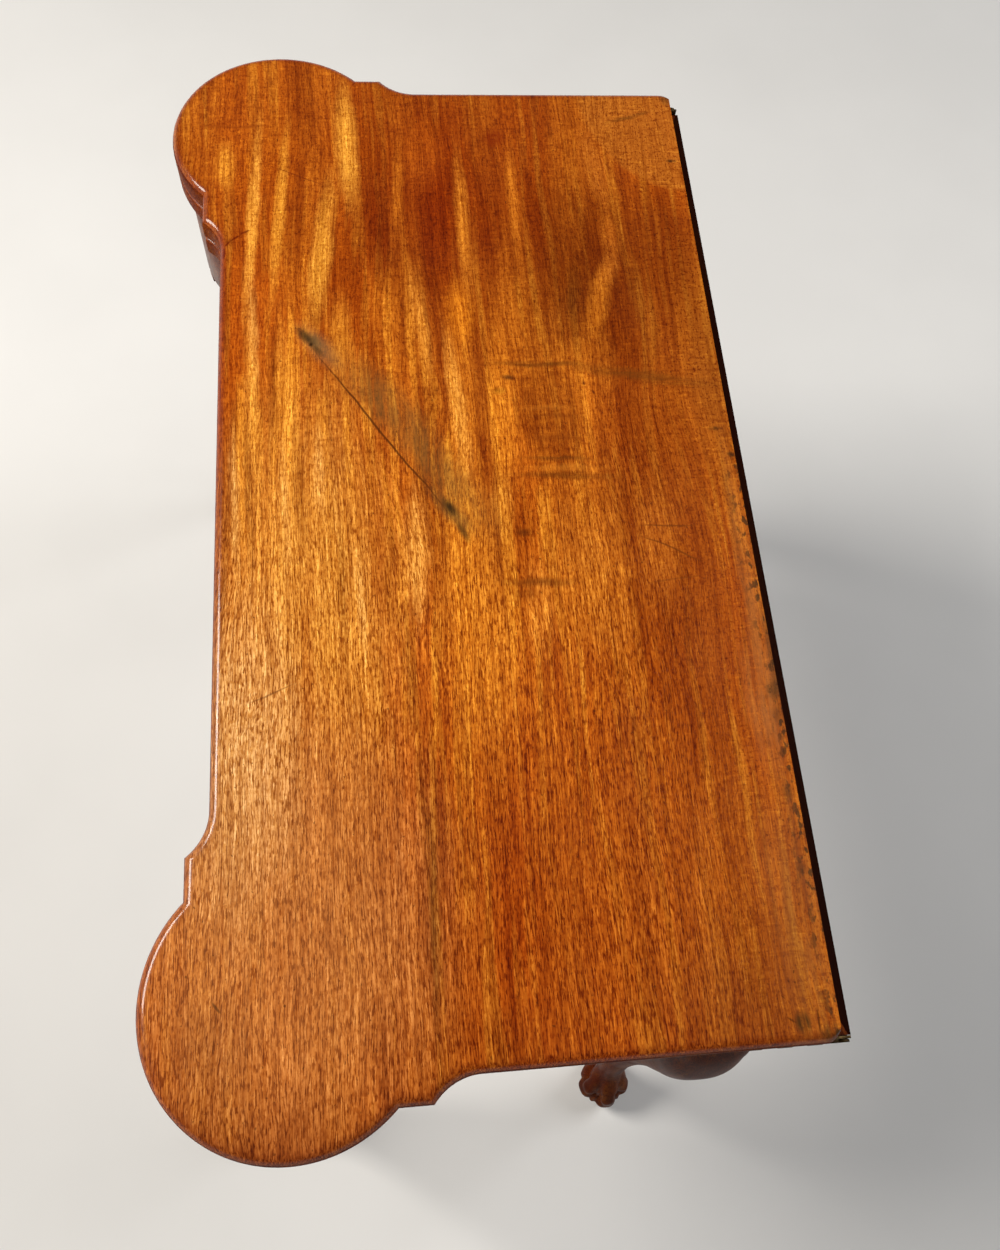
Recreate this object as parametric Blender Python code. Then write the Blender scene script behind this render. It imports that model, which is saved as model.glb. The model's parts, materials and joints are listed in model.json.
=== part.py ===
"""Fold-over games table with round projecting corners.

A hinged pair of mahogany leaves lies on a frieze frame with turret corners. The upper leaf turns over
on brass end hinges to show a baize playing field with candle dishes and counter wells, and one rear leg
swings back on a wooden knuckle joint to carry it. Units are metres, +Z is up, the front faces -Y and the
origin is on the floor under the middle of the closed table.
"""

import math

import bmesh
import bpy
from mathutils import Matrix, Vector

# Fits
GAP = 0.0003               # between pieces that are glued or rest on each other
RUN_CLEARANCE = 0.0005     # between pieces that move past each other

# Leaves
TABLE_HEIGHT = 0.725       # floor to the top of the closed table
TOP_LENGTH = 0.800         # straight end to straight end
TOP_DEPTH = 0.392          # straight front edge to the upper leaf's hinge edge
LEAF_THICKNESS = 0.021
OUTER_ROUND = 0.007        # edge rounding on a leaf's outer face
INNER_ROUND = 0.003        # and on its playing face
HINGE_MARGIN = 0.0135      # the lower leaf's hinge edge stands this far behind the upper one's
TURRET_RADIUS = 0.0917     # round corners
TURRET_INSET = 0.0505      # turret centre, in from the straight edges
STEP_PROUD = 0.015         # square step beside each turret, out from the straight edge
FRONT_STEP_REACH = 0.1425  # straight corner to the step's outer corner, along the front
END_STEP_REACH = 0.136     # the same along the ends
COVE_RADIUS = 0.0375       # hollow between step and straight edge

# Playing surface
BAIZE_THICKNESS = 0.001
BAIZE_RECESS = 0.0015
BAIZE_BORDER = 0.040       # wood border at the ends and the front
BAIZE_DISH_BORDER = 0.014  # wood between a candle dish and the baize
BAIZE_HINGE_BORDER = 0.004
CANDLE_DISH_RADIUS = 0.066
CANDLE_DISH_DEPTH = 0.003
DISH_SLOPE = 0.005         # half the width of a dish's or well's sloping wall
WELL_LENGTH = 0.086        # oval counter wells
WELL_WIDTH = 0.056
WELL_DEPTH = 0.0038
WELL_RIM = 0.008           # wood left round a well
WELL_FROM_MIDDLE = 0.165   # well centre along the table
WELL_FROM_FRONT = 0.092    # well centre, in from the straight front edge

# Frieze frame
FRIEZE_HEIGHT = 0.097
FRIEZE_INSET = 0.006       # frieze face, in from the leaves' outline
RAIL_THICKNESS = 0.022
BACK_OVERHANG = 0.019      # fly rail's outer face, in from the upper leaf's hinge edge
BLOCK_LAP = 0.004          # straight end of a turret block past its cove
BLOCK_CORE = 0.100         # inner corner cut of a turret block, from the straight corner
TENON_LENGTH = 0.016
SHORT_TENON_LENGTH = 0.012
TENON_THICKNESS = 0.008
TENON_SHOULDER = 0.012     # above and below a tenon
CROSS_RAIL_WIDTH = 0.030
CROSS_RAIL_HEIGHT = 0.050
CROSS_RAIL_X = 0.060
GLUE_BLOCK_LENGTH = 0.060
GLUE_BLOCK_SIDE = 0.020
GLUE_BLOCK_X = 0.130
GLUE_BLOCK_Y = 0.060       # end blocks, behind the turret block

# Legs
POST = 0.040               # square head of a leg, in the frieze
FRONT_POST_REACH = 0.060   # front post's centre, out from the turret's centre on the diagonal
FRONT_POST_HEIGHT = 0.075
ANKLE_HEIGHT = 0.105
FOOT_REACH = 0.046         # ball centre, out from the post's centre
BALL_RADIUS = 0.0265
BALL_CENTRE = 0.0235       # above the floor, so the ball is cut flat below
CLAW_HEIGHT = 0.006        # how far the claws stand off the ball
CLAW_ANGLES = (0.0, 75.0, 180.0, 285.0)
CLAW_WIDTH = 13.0          # degrees
LEG_SIDES = 24
LEG_PROFILE = (            # share of the way up from ankle to frieze, outer edge, inner edge, half width
    (0.000, 0.0420, 0.0150, 0.0150),
    (0.115, 0.0345, 0.0095, 0.0155),
    (0.300, 0.0310, 0.0030, 0.0178),
    (0.490, 0.0335, -0.0030, 0.0215),
    (0.655, 0.0400, -0.0105, 0.0265),
    (0.780, 0.0445, -0.0175, 0.0310),
    (0.865, 0.0430, -0.0215, 0.0325),
    (0.948, 0.0340, -0.0225, 0.0318),
    (1.000, 0.0235, -0.0215, 0.0300),
)

# Knee brackets
FRONT_BRACKET_HEIGHT = 0.050
FRONT_BRACKET_DEPTH = 0.022
FRONT_BRACKET_SPAN = (14.0, 66.0)   # degrees from the leg's diagonal
REAR_BRACKET_LENGTH = 0.084
REAR_BRACKET_HEIGHT = 0.060
BRACKET_TIP = 0.008

# Swing leg
SWING_PIVOT_X = -0.030
SWING_FINGERS = 5
PIVOT_PIN_RADIUS = 0.0030
PIVOT_HOLE_RADIUS = 0.0034

# Leaf hinges
STRAP_THICKNESS = 0.004
STRAP_WIDTH = 0.011
STRAP_LENGTH = 0.066       # hinge line to the strap's end
STRAP_OFFSET = 0.0015      # strap's near edge, off the leaves' joint
EYE_RADIUS = 0.0045
HINGE_PIN_RADIUS = 0.0018
HINGE_HOLE_RADIUS = 0.0022
OPEN_JOINT = 0.0006        # gap between the hinge edges when the table is open

# Leg shape


def smooth_between(stations, at):
    """Values at a place, read from stations on a smooth curve through them."""
    i = max(k for k in range(len(stations) - 1) if stations[k][0] <= at)
    before, here = stations[max(i - 1, 0)], stations[i]
    after, beyond = stations[i + 1], stations[min(i + 2, len(stations) - 1)]
    span = after[0] - here[0]
    t = (at - here[0]) / span
    values = []
    for k in range(1, len(here)):
        slope_here = (after[k] - before[k]) / (after[0] - before[0]) * span
        slope_after = (beyond[k] - here[k]) / (beyond[0] - here[0]) * span
        values.append(
            here[k] * (1 + 2 * t) * (1 - t) ** 2 + slope_here * t * (1 - t) ** 2
            + after[k] * t * t * (3 - 2 * t) + slope_after * t * t * (t - 1)
        )
    return values


def ease(low, high, at):
    t = min(max((at - low) / (high - low), 0.0), 1.0)
    return t * t * (3 - 2 * t)


def ring_angles():
    return [2 * math.pi * k / LEG_SIDES for k in range(LEG_SIDES)]


def shank_ring(share, grow=0.0):
    """A rounded section of the leg above the ankle, as (out, across)."""
    outer, inner, half = smooth_between(LEG_PROFILE, share)
    middle, reach = (outer + inner) / 2, (outer - inner) / 2
    power = 2 / (2.0 + 0.7 * ease(0.3, 0.9, share) + 1.3 * ease(0.93, 1.0, share))
    ring = []
    for angle in ring_angles():
        c, s = math.cos(angle), math.sin(angle)
        ring.append((
            middle + (reach + grow) * math.copysign(abs(c) ** power, c),
            (half + grow) * math.copysign(abs(s) ** power, s),
        ))
    return ring


def foot_ring(height):
    """A section of the ball and the claws that grip it, as (out, across)."""
    outer, inner, half = LEG_PROFILE[0][1:]
    shoulder = BALL_CENTRE + 0.6 * BALL_RADIUS
    off = min(height, shoulder) - BALL_CENTRE
    ball = math.sqrt(BALL_RADIUS ** 2 - off ** 2)
    rise = ease(shoulder, ANKLE_HEIGHT, height)
    middle = FOOT_REACH + ((outer + inner) / 2 - FOOT_REACH) * rise
    reach = ball + ((outer - inner) / 2 - ball) * rise
    width = ball + (half - ball) * rise
    grip = (0.4 + 0.6 * ease(0.0, BALL_CENTRE, height)) * (1 - rise)
    ring = []
    for angle in ring_angles():
        turns = [(math.degrees(angle) - claw + 180) % 360 - 180 for claw in CLAW_ANGLES]
        claw = CLAW_HEIGHT * grip * max(math.exp(-((turn / CLAW_WIDTH) ** 2)) for turn in turns)
        ring.append((middle + (reach + claw) * math.cos(angle), (width + claw) * math.sin(angle)))
    return ring


def turned(point, angle):
    c, s = math.cos(angle), math.sin(angle)
    return point[0] * c - point[1] * s, point[0] * s + point[1] * c


FOOT_LEVELS = [ANKLE_HEIGHT * share for share in (0, 0.07, 0.15, 0.24, 0.34, 0.46, 0.60, 0.76, 0.90)]
SHANK_LEVELS = (0.0, 0.06, 0.14, 0.25, 0.38, 0.50, 0.60, 0.68, 0.75, 0.81, 0.865, 0.91, 0.95, 0.98, 1.0)
DIAGONAL = math.radians(45)
FOOT_FORWARD = max(turned(p, DIAGONAL)[1] for z in FOOT_LEVELS for p in foot_ring(z))

# Places that follow from the sizes
UPPER_UNDER = TABLE_HEIGHT - LEAF_THICKNESS
LOWER_TOP = UPPER_UNDER - RUN_CLEARANCE
LOWER_UNDER = LOWER_TOP - LEAF_THICKNESS
FRAME_TOP = LOWER_UNDER - GAP
FRAME_BOTTOM = FRAME_TOP - FRIEZE_HEIGHT
LEG_TOP = FRAME_BOTTOM - RUN_CLEARANCE
SWING_TOP = FRAME_TOP - RUN_CLEARANCE
HALF_LENGTH = TOP_LENGTH / 2
POST_SET = FRONT_POST_REACH * math.sin(DIAGONAL)
FOOT_OUT = POST_SET + FOOT_FORWARD - TURRET_INSET     # front foot's reach past the straight front
FRONT_Y = (FOOT_OUT - TOP_DEPTH - HINGE_MARGIN) / 2   # straight front edge
HINGE_EDGE_Y = FRONT_Y + TOP_DEPTH
LOWER_EDGE_Y = HINGE_EDGE_Y + HINGE_MARGIN
HINGE_Y = (HINGE_EDGE_Y + LOWER_EDGE_Y + OPEN_JOINT) / 2
HINGE_Z = (UPPER_UNDER + LOWER_TOP) / 2
TURRET_X = HALF_LENGTH - TURRET_INSET
TURRET_Y = FRONT_Y + TURRET_INSET
FRIEZE_TURRET = TURRET_RADIUS - FRIEZE_INSET
END_FACE_X = HALF_LENGTH - FRIEZE_INSET
END_INSIDE_X = END_FACE_X - RAIL_THICKNESS
FRONT_FACE_Y = FRONT_Y + FRIEZE_INSET
FRONT_INSIDE_Y = FRONT_FACE_Y + RAIL_THICKNESS
FLY_BACK_Y = HINGE_EDGE_Y - BACK_OVERHANG
FLY_FRONT_Y = FLY_BACK_Y - RAIL_THICKNESS
FLY_MID_Y = (FLY_BACK_Y + FLY_FRONT_Y) / 2
BACK_RAIL_BACK_Y = FLY_FRONT_Y - RUN_CLEARANCE
BACK_RAIL_FRONT_Y = BACK_RAIL_BACK_Y - RAIL_THICKNESS
BACK_RAIL_MID_Y = (BACK_RAIL_BACK_Y + BACK_RAIL_FRONT_Y) / 2
REAR_POST_X = END_FACE_X - POST / 2
REAR_POST_Y = FLY_BACK_Y - POST / 2
POST_INSIDE_X = REAR_POST_X - POST / 2
COVE_RUN = math.sqrt(COVE_RADIUS ** 2 - (COVE_RADIUS - STEP_PROUD) ** 2)
END_BLOCK_Y = FRONT_Y + END_STEP_REACH + COVE_RUN + BLOCK_LAP
FRONT_BLOCK_X = HALF_LENGTH - FRONT_STEP_REACH - COVE_RUN - BLOCK_LAP
TENON_LOW = FRAME_BOTTOM + TENON_SHOULDER
TENON_HIGH = FRAME_TOP - TENON_SHOULDER
SIDES = {"left": -1, "right": 1}

# Scene


def clear_scene():
    for obj in list(bpy.data.objects):
        bpy.data.objects.remove(obj, do_unlink=True)


def new_collection(name):
    collection = bpy.data.collections.new(name)
    bpy.context.scene.collection.children.link(collection)
    return collection


clear_scene()
PARTS = new_collection("games_table")
CUTTERS = new_collection("cutters")


def material(name, color, roughness, metallic=0.0):
    made = bpy.data.materials.new(name)
    made.use_nodes = True
    shader = made.node_tree.nodes["Principled BSDF"]
    shader.inputs["Base Color"].default_value = (*color, 1.0)
    shader.inputs["Roughness"].default_value = roughness
    shader.inputs["Metallic"].default_value = metallic
    return made


MAHOGANY = material("polished_mahogany", (0.36, 0.115, 0.025), 0.28)
DARK_MAHOGANY = material("darkened_mahogany", (0.022, 0.006, 0.003), 0.45)
OAK = material("oak_carcase", (0.30, 0.19, 0.09), 0.75)
BAIZE = material("green_baize", (0.035, 0.12, 0.05), 0.95)
BRASS = material("old_brass", (0.42, 0.31, 0.12), 0.40, 1.0)
IRON = material("wrought_iron", (0.07, 0.065, 0.06), 0.55, 1.0)


# Modelling tools


def finish_mesh(name, bm, finish=None, collection=None):
    """A mesh object from bm, facing out, as a part or, with no finish, as a helper."""
    bmesh.ops.recalc_face_normals(bm, faces=bm.faces)
    mesh = bpy.data.meshes.new(name)
    bm.to_mesh(mesh)
    bm.free()
    obj = bpy.data.objects.new(name, mesh)
    if finish is None:
        CUTTERS.objects.link(obj)
        obj.hide_render = True
        obj.display_type = "WIRE"
    else:
        PARTS.objects.link(obj)
        mesh.materials.append(finish)
    return obj


def box(name, low, high, finish=None):
    low, high = Vector(low), Vector(high)
    low, high = Vector(map(min, low, high)), Vector(map(max, low, high))
    size = high - low
    bm = bmesh.new()
    bmesh.ops.create_cube(bm, size=1.0)
    bmesh.ops.scale(bm, vec=size, verts=bm.verts)
    bmesh.ops.translate(bm, vec=(low + high) / 2, verts=bm.verts)
    return finish_mesh(name, bm, finish)


def rod(name, start, end, radius, sides, finish=None, end_radius=None):
    """A cylinder, or a cone where end_radius is given, between two points."""
    start, end = Vector(start), Vector(end)
    along = end - start
    turn = along.to_track_quat("Z", "Y").to_matrix().to_4x4()
    bm = bmesh.new()
    bmesh.ops.create_cone(
        bm, cap_ends=True, segments=sides, radius1=radius,
        radius2=radius if end_radius is None else end_radius, depth=along.length,
        matrix=Matrix.Translation((start + end) / 2) @ turn,
    )
    return finish_mesh(name, bm, finish)


def plate(name, outlines, low, high, finish=None, across="Z"):
    """A flat outline, with any holes after it, extruded from low to high along Z or X."""
    curve = bpy.data.curves.new(name + "_outline", "CURVE")
    curve.dimensions = "2D"
    curve.fill_mode = "BOTH"
    curve.extrude = (high - low) / 2
    for outline in outlines:
        spline = curve.splines.new("POLY")
        spline.points.add(len(outline) - 1)
        for point, (u, v) in zip(spline.points, outline):
            point.co = (u, v, 0.0, 1.0)
        spline.use_cyclic_u = True
    drawn = bpy.data.objects.new(name + "_curve", curve)
    bpy.context.scene.collection.objects.link(drawn)
    middle = (low + high) / 2
    if across == "X":
        drawn.matrix_world = Matrix(((0, 0, 1, middle), (1, 0, 0, 0), (0, 1, 0, 0), (0, 0, 0, 1)))
    else:
        drawn.matrix_world = Matrix.Translation((0, 0, middle))
    bpy.context.view_layer.update()
    graph = bpy.context.evaluated_depsgraph_get()
    mesh = bpy.data.meshes.new_from_object(drawn.evaluated_get(graph))
    bm = bmesh.new()
    bm.from_mesh(mesh)
    bmesh.ops.transform(bm, matrix=drawn.matrix_world, verts=bm.verts)
    bmesh.ops.remove_doubles(bm, verts=bm.verts, dist=1e-6)
    bpy.data.objects.remove(drawn, do_unlink=True)
    bpy.data.meshes.remove(mesh)
    return finish_mesh(name, bm, finish)


def loft(name, rings, finish=None):
    """A closed skin over rings of equal point count, split the same way for a piece and its cutter."""
    bm = bmesh.new()
    made = [[bm.verts.new(point) for point in ring] for ring in rings]
    count = len(rings[0])
    for lower, upper in zip(made, made[1:]):
        for i in range(count):
            j = (i + 1) % count
            bm.faces.new((lower[i], lower[j], upper[j]))
            bm.faces.new((lower[i], upper[j], upper[i]))
    bm.faces.new(made[0])
    bm.faces.new(made[-1])
    return finish_mesh(name, bm, finish)


def boolean(target, other, operation):
    step = target.modifiers.new(f"{operation.lower()}_{other.name}", "BOOLEAN")
    step.operation = operation
    step.solver = "EXACT"
    step.object = other


def cut(target, other):
    boolean(target, other, "DIFFERENCE")


def join(target, other):
    boolean(target, other, "UNION")


# Outline of the top


def corner_outline(margin, arc_steps=28, cove_steps=5):
    """Points round one corner as (out from the straight end, back from the straight front).

    They run from the cove on the end side, round the turret, to the cove on the front side.
    """
    radius = TURRET_RADIUS + margin
    hollow = COVE_RADIUS - margin
    sweep = math.acos((COVE_RADIUS - STEP_PROUD - margin) / hollow)
    step = STEP_PROUD + margin
    half_chord = math.sqrt(radius ** 2 - (step + TURRET_INSET) ** 2)

    def cove(reach):
        run = reach + COVE_RUN
        turns = [sweep * k / cove_steps for k in range(cove_steps + 1)]
        return [(COVE_RADIUS - hollow * math.cos(t), run - hollow * math.sin(t)) for t in turns]

    points = cove(END_STEP_REACH)
    start = math.atan2(-half_chord, step + TURRET_INSET)
    span = math.pi / 2 - 2 * start
    for k in range(arc_steps + 1):
        angle = start + span * k / arc_steps
        out = radius * math.cos(angle) - TURRET_INSET
        forward = radius * math.sin(angle) - TURRET_INSET
        points.append((out, -forward))
    points += [(-along, -out) for out, along in reversed(cove(FRONT_STEP_REACH))]
    return points


def corner_to_table(point, side):
    out, back = point
    return side * (HALF_LENGTH + out), FRONT_Y + back


def top_outline(margin, back_y):
    """The whole top's outline, grown by margin everywhere but along the hinge edge."""
    right = [(HALF_LENGTH + margin, back_y)] + [corner_to_table(p, 1) for p in corner_outline(margin)]
    left = [(-x, y) for x, y in reversed(right)]
    return right + left


def oval(centre, length, width, sides=24):
    turns = [2 * math.pi * k / sides for k in range(sides)]
    return [
        (centre[0] + length / 2 * math.cos(t), centre[1] + width / 2 * math.sin(t)) for t in turns
    ]


# Leaves and playing surface


def leaf_board(name, inner_face, up, back_y):
    """A leaf with rounded edges all round but at the hinge. It lies above its inner face if up is 1."""
    steps = 3
    turns = [math.pi / 2 * k / steps for k in range(steps + 1)]
    profile = [(INNER_ROUND * (1 - math.cos(t)), -INNER_ROUND * (1 - math.sin(t))) for t in turns]
    profile += [
        (LEAF_THICKNESS - OUTER_ROUND * (1 - math.cos(t)), -OUTER_ROUND * (1 - math.sin(t)))
        for t in reversed(turns)
    ]
    rings = []
    for height, margin in profile:
        level = inner_face + up * height
        rings.append([(x, y, level) for x, y in top_outline(margin, back_y)])
    return loft(name, rings, MAHOGANY)


def well_centres():
    return [(side * WELL_FROM_MIDDLE, FRONT_Y + WELL_FROM_FRONT) for side in SIDES.values()]


def baize_outlines(grow):
    """The playing field, drawn in round the candle dishes and with holes for the wells."""
    half = HALF_LENGTH - BAIZE_BORDER + grow
    front = FRONT_Y + BAIZE_BORDER - grow
    back = HINGE_EDGE_Y - BAIZE_HINGE_BORDER + grow
    sweep = CANDLE_DISH_RADIUS + BAIZE_DISH_BORDER - grow
    start = math.acos((half - TURRET_X) / sweep)
    end = math.pi + math.asin((TURRET_Y - front) / sweep)
    steps = 8
    field = [(half, back)]
    for k in range(steps + 1):
        angle = start + (end - start) * k / steps
        field.append((TURRET_X + sweep * math.cos(angle), TURRET_Y + sweep * math.sin(angle)))
    field += [(-x, y) for x, y in reversed(field)]
    rim = 2 * (WELL_RIM - grow)
    return [field] + [oval(c, WELL_LENGTH + rim, WELL_WIDTH + rim) for c in well_centres()]


def dish_cutters(name, face, into):
    """Cutters for the candle dishes and counter wells, sunk from face along into (+1 up, -1 down)."""
    made = []
    for label, side in SIDES.items():
        centre = Vector((side * TURRET_X, TURRET_Y, face))
        deep = Vector((0, 0, into * CANDLE_DISH_DEPTH))
        made.append(rod(
            f"{name}_{label}_candle_dish", centre - deep, centre + deep,
            CANDLE_DISH_RADIUS + DISH_SLOPE, 32, end_radius=CANDLE_DISH_RADIUS - DISH_SLOPE,
        ))
    for label, centre in zip(SIDES, well_centres()):
        rings = []
        for level in (-1, 1):
            grow = -2 * level * DISH_SLOPE
            ring = oval(centre, WELL_LENGTH + grow, WELL_WIDTH + grow)
            rings.append([(x, y, face + into * level * WELL_DEPTH) for x, y in ring])
        made.append(loft(f"{name}_{label}_well", rings))
    return made


def playing_face(leaf, name, face, into):
    """Sinks the baize field, the dishes and the wells into a leaf's inner face and lays the baize."""
    low, high = sorted((face + into * BAIZE_RECESS, face - into * BAIZE_RECESS))
    cut(leaf, plate(f"{name}_recess", baize_outlines(0.0), low, high))
    for cutter in dish_cutters(name, face, into):
        cut(leaf, cutter)
    deep = face + into * (BAIZE_RECESS - GAP)
    low, high = sorted((deep, deep - into * BAIZE_THICKNESS))
    return plate(f"{name}_baize", baize_outlines(-GAP), low, high, BAIZE)


def strap_levels(up):
    """The near and far edge of a strap, above the hinge line if up is 1 and below it if -1."""
    return HINGE_Z + up * STRAP_OFFSET, HINGE_Z + up * (STRAP_OFFSET + STRAP_WIDTH)


def strap_seat(leaf, name, up):
    """A slot in each end of a leaf for its strap, open to the end and to the hinge line."""
    floor = HALF_LENGTH - STRAP_THICKNESS - GAP
    low, high = sorted(strap_levels(up))
    for label, side in SIDES.items():
        cut(leaf, box(
            f"{name}_{label}_strap_seat",
            (side * floor, HINGE_Y - STRAP_LENGTH - GAP, low - GAP),
            (side * (HALF_LENGTH + OUTER_ROUND), HINGE_Y, high + GAP),
        ))


def knuckle_notch(leaf):
    """Cuts the lower leaf's hinge corners away, where the eyes and the upper straps' ends turn."""
    floor = HALF_LENGTH - STRAP_THICKNESS - GAP
    swept = math.hypot(EYE_RADIUS, STRAP_OFFSET + STRAP_WIDTH) + RUN_CLEARANCE
    for label, side in SIDES.items():
        cut(leaf, box(
            f"{label}_knuckle_notch",
            (side * floor, HINGE_Y - EYE_RADIUS - RUN_CLEARANCE, HINGE_Z - swept),
            (side * (HALF_LENGTH + OUTER_ROUND), LOWER_EDGE_Y + HINGE_MARGIN, LOWER_TOP + EYE_RADIUS),
        ))


def make_leaves():
    upper = leaf_board("upper_leaf", UPPER_UNDER, 1, HINGE_EDGE_Y)
    lower = leaf_board("lower_leaf", LOWER_TOP, -1, LOWER_EDGE_Y)
    upper_baize = playing_face(upper, "upper", UPPER_UNDER, 1)
    playing_face(lower, "lower", LOWER_TOP, -1)
    strap_seat(upper, "upper", 1)
    strap_seat(lower, "lower", -1)
    knuckle_notch(lower)
    return [upper, upper_baize]


# Leaf hinges


def hinge_strap(name, side, up, inner_half):
    """A brass strap let into a leaf's end, with an eye of half its thickness on the hinge line."""
    outer, inner = HALF_LENGTH, HALF_LENGTH - STRAP_THICKNESS
    middle = (outer + inner) / 2
    near, far = strap_levels(up)
    shoulder = HINGE_Y - EYE_RADIUS - RUN_CLEARANCE
    strap = box(
        name, (side * inner, HINGE_Y - STRAP_LENGTH, near), (side * outer, shoulder, far), BRASS,
    )
    steps = 10
    turns = [math.pi * k / steps for k in range(steps + 1)]
    eye = [(HINGE_Y + EYE_RADIUS * math.cos(t), HINGE_Z - up * EYE_RADIUS * math.sin(t)) for t in turns]
    tail = shoulder - EYE_RADIUS
    arm = eye + [(HINGE_Y - EYE_RADIUS, near), (tail, near), (tail, far), (HINGE_Y + EYE_RADIUS, far)]
    span = (inner, middle - GAP / 2) if inner_half else (middle + GAP / 2, outer)
    join(strap, plate(f"{name}_eye", [arm], *sorted(side * x for x in span), across="X"))
    cut(strap, rod(
        f"{name}_hole", (side * (inner - GAP), HINGE_Y, HINGE_Z), (side * (outer + GAP), HINGE_Y, HINGE_Z),
        HINGE_HOLE_RADIUS, 12,
    ))
    return strap


def make_hinges():
    moving = []
    for label, side in SIDES.items():
        moving.append(hinge_strap(f"{label}_hinge_upper_strap", side, 1, True))
        hinge_strap(f"{label}_hinge_lower_strap", side, -1, False)
        rod(
            f"{label}_hinge_pin", (side * (HALF_LENGTH - STRAP_THICKNESS), HINGE_Y, HINGE_Z),
            (side * HALF_LENGTH, HINGE_Y, HINGE_Z), HINGE_PIN_RADIUS, 12, BRASS,
        )
    return moving


# Frieze frame


def tenon(rail, name, low, high):
    """Joins a tenon that runs from low to high in plan to a rail."""
    join(rail, box(f"{name}_tenon", (*low, TENON_LOW), (*high, TENON_HIGH)))


def mortise(piece, name, low, high):
    """Cuts a mortise with clearance all round from low to high in plan."""
    (x0, x1), (y0, y1) = (sorted(pair) for pair in zip(low, high))
    cut(piece, box(
        f"{name}_mortise", (x0 - GAP, y0 - GAP, TENON_LOW - GAP), (x1 + GAP, y1 + GAP, TENON_HIGH + GAP),
    ))


def front_tenon_plan(side):
    mid = (FRONT_FACE_Y + FRONT_INSIDE_Y) / 2
    return (
        (side * (FRONT_BLOCK_X - TENON_LENGTH), mid - TENON_THICKNESS / 2),
        (side * (FRONT_BLOCK_X + TENON_LENGTH), mid + TENON_THICKNESS / 2),
    )


def end_tenon_plan(side, at_y):
    mid = side * (END_FACE_X + END_INSIDE_X) / 2
    return (
        (mid - TENON_THICKNESS / 2, at_y - TENON_LENGTH), (mid + TENON_THICKNESS / 2, at_y + TENON_LENGTH),
    )


def rear_tenon_plan(mid_y, at_x, length):
    return (at_x - length, mid_y - TENON_THICKNESS / 2), (at_x + length, mid_y + TENON_THICKNESS / 2)


def square_plan(centre, half, angle):
    corners = ((half, half), (-half, half), (-half, -half), (half, -half))
    return [tuple(a + b for a, b in zip(centre, turned(corner, angle))) for corner in corners]


def front_post_place(side):
    return side * (TURRET_X + POST_SET), TURRET_Y - POST_SET


def turret_block(label, side):
    """The frieze's round corner, with a socket for the leg and mortises for the two rails."""
    face, inside = -FRIEZE_INSET, -FRIEZE_INSET - RAIL_THICKNESS
    end_stop, front_stop = END_BLOCK_Y - FRONT_Y, HALF_LENGTH - FRONT_BLOCK_X
    outline = [(face, end_stop)] + corner_outline(face) + [
        (-front_stop, -face), (-front_stop, -inside), (-BLOCK_CORE, -inside), (-BLOCK_CORE, BLOCK_CORE),
        (inside, BLOCK_CORE), (inside, end_stop),
    ]
    drawn = [corner_to_table(point, side) for point in outline]
    block = plate(f"{label}_turret_block", [drawn], FRAME_BOTTOM, FRAME_TOP, MAHOGANY)
    socket = square_plan(front_post_place(side), POST / 2 + GAP, DIAGONAL)
    cut(block, plate(
        f"{label}_leg_socket", [socket], FRAME_BOTTOM - POST, LEG_TOP + FRONT_POST_HEIGHT + GAP,
    ))
    mortise(block, f"{label}_block_front", *front_tenon_plan(side))
    mortise(block, f"{label}_block_end", *end_tenon_plan(side, END_BLOCK_Y))


def front_rail():
    stop = FRONT_BLOCK_X - GAP
    rail = box(
        "front_rail", (-stop, FRONT_FACE_Y, FRAME_BOTTOM), (stop, FRONT_INSIDE_Y, FRAME_TOP), MAHOGANY,
    )
    for side in SIDES.values():
        tenon(rail, f"front_rail_{side}", *front_tenon_plan(side))


def end_rail(label, side):
    """A side rail. The right one is tenoned to the fixed rear leg, the left one takes the back rail."""
    fixed = label == "right"
    post_front = REAR_POST_Y - POST / 2
    stop = post_front - GAP if fixed else BACK_RAIL_BACK_Y
    rail = box(
        f"{label}_end_rail", (side * END_INSIDE_X, END_BLOCK_Y + GAP, FRAME_BOTTOM),
        (side * END_FACE_X, stop, FRAME_TOP), MAHOGANY,
    )
    tenon(rail, f"{label}_end_rail_front", *end_tenon_plan(side, END_BLOCK_Y))
    if fixed:
        tenon(rail, f"{label}_end_rail_rear", *end_tenon_plan(side, post_front))
    else:
        corner = rear_tenon_plan(BACK_RAIL_MID_Y, side * END_INSIDE_X, SHORT_TENON_LENGTH)
        mortise(rail, f"{label}_end_rail_corner", *corner)


def back_rail():
    rail = box(
        "back_rail", (-END_INSIDE_X + GAP, BACK_RAIL_FRONT_Y, FRAME_BOTTOM),
        (POST_INSIDE_X - GAP, BACK_RAIL_BACK_Y, FRAME_TOP), OAK,
    )
    tenon(rail, "back_rail_left", *rear_tenon_plan(BACK_RAIL_MID_Y, -END_INSIDE_X, SHORT_TENON_LENGTH))
    tenon(rail, "back_rail_right", *rear_tenon_plan(BACK_RAIL_MID_Y, POST_INSIDE_X, TENON_LENGTH))


def glue_block(name, low, high):
    box(name, (*low, FRAME_TOP - GLUE_BLOCK_SIDE), (*high, FRAME_TOP), OAK)


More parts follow.
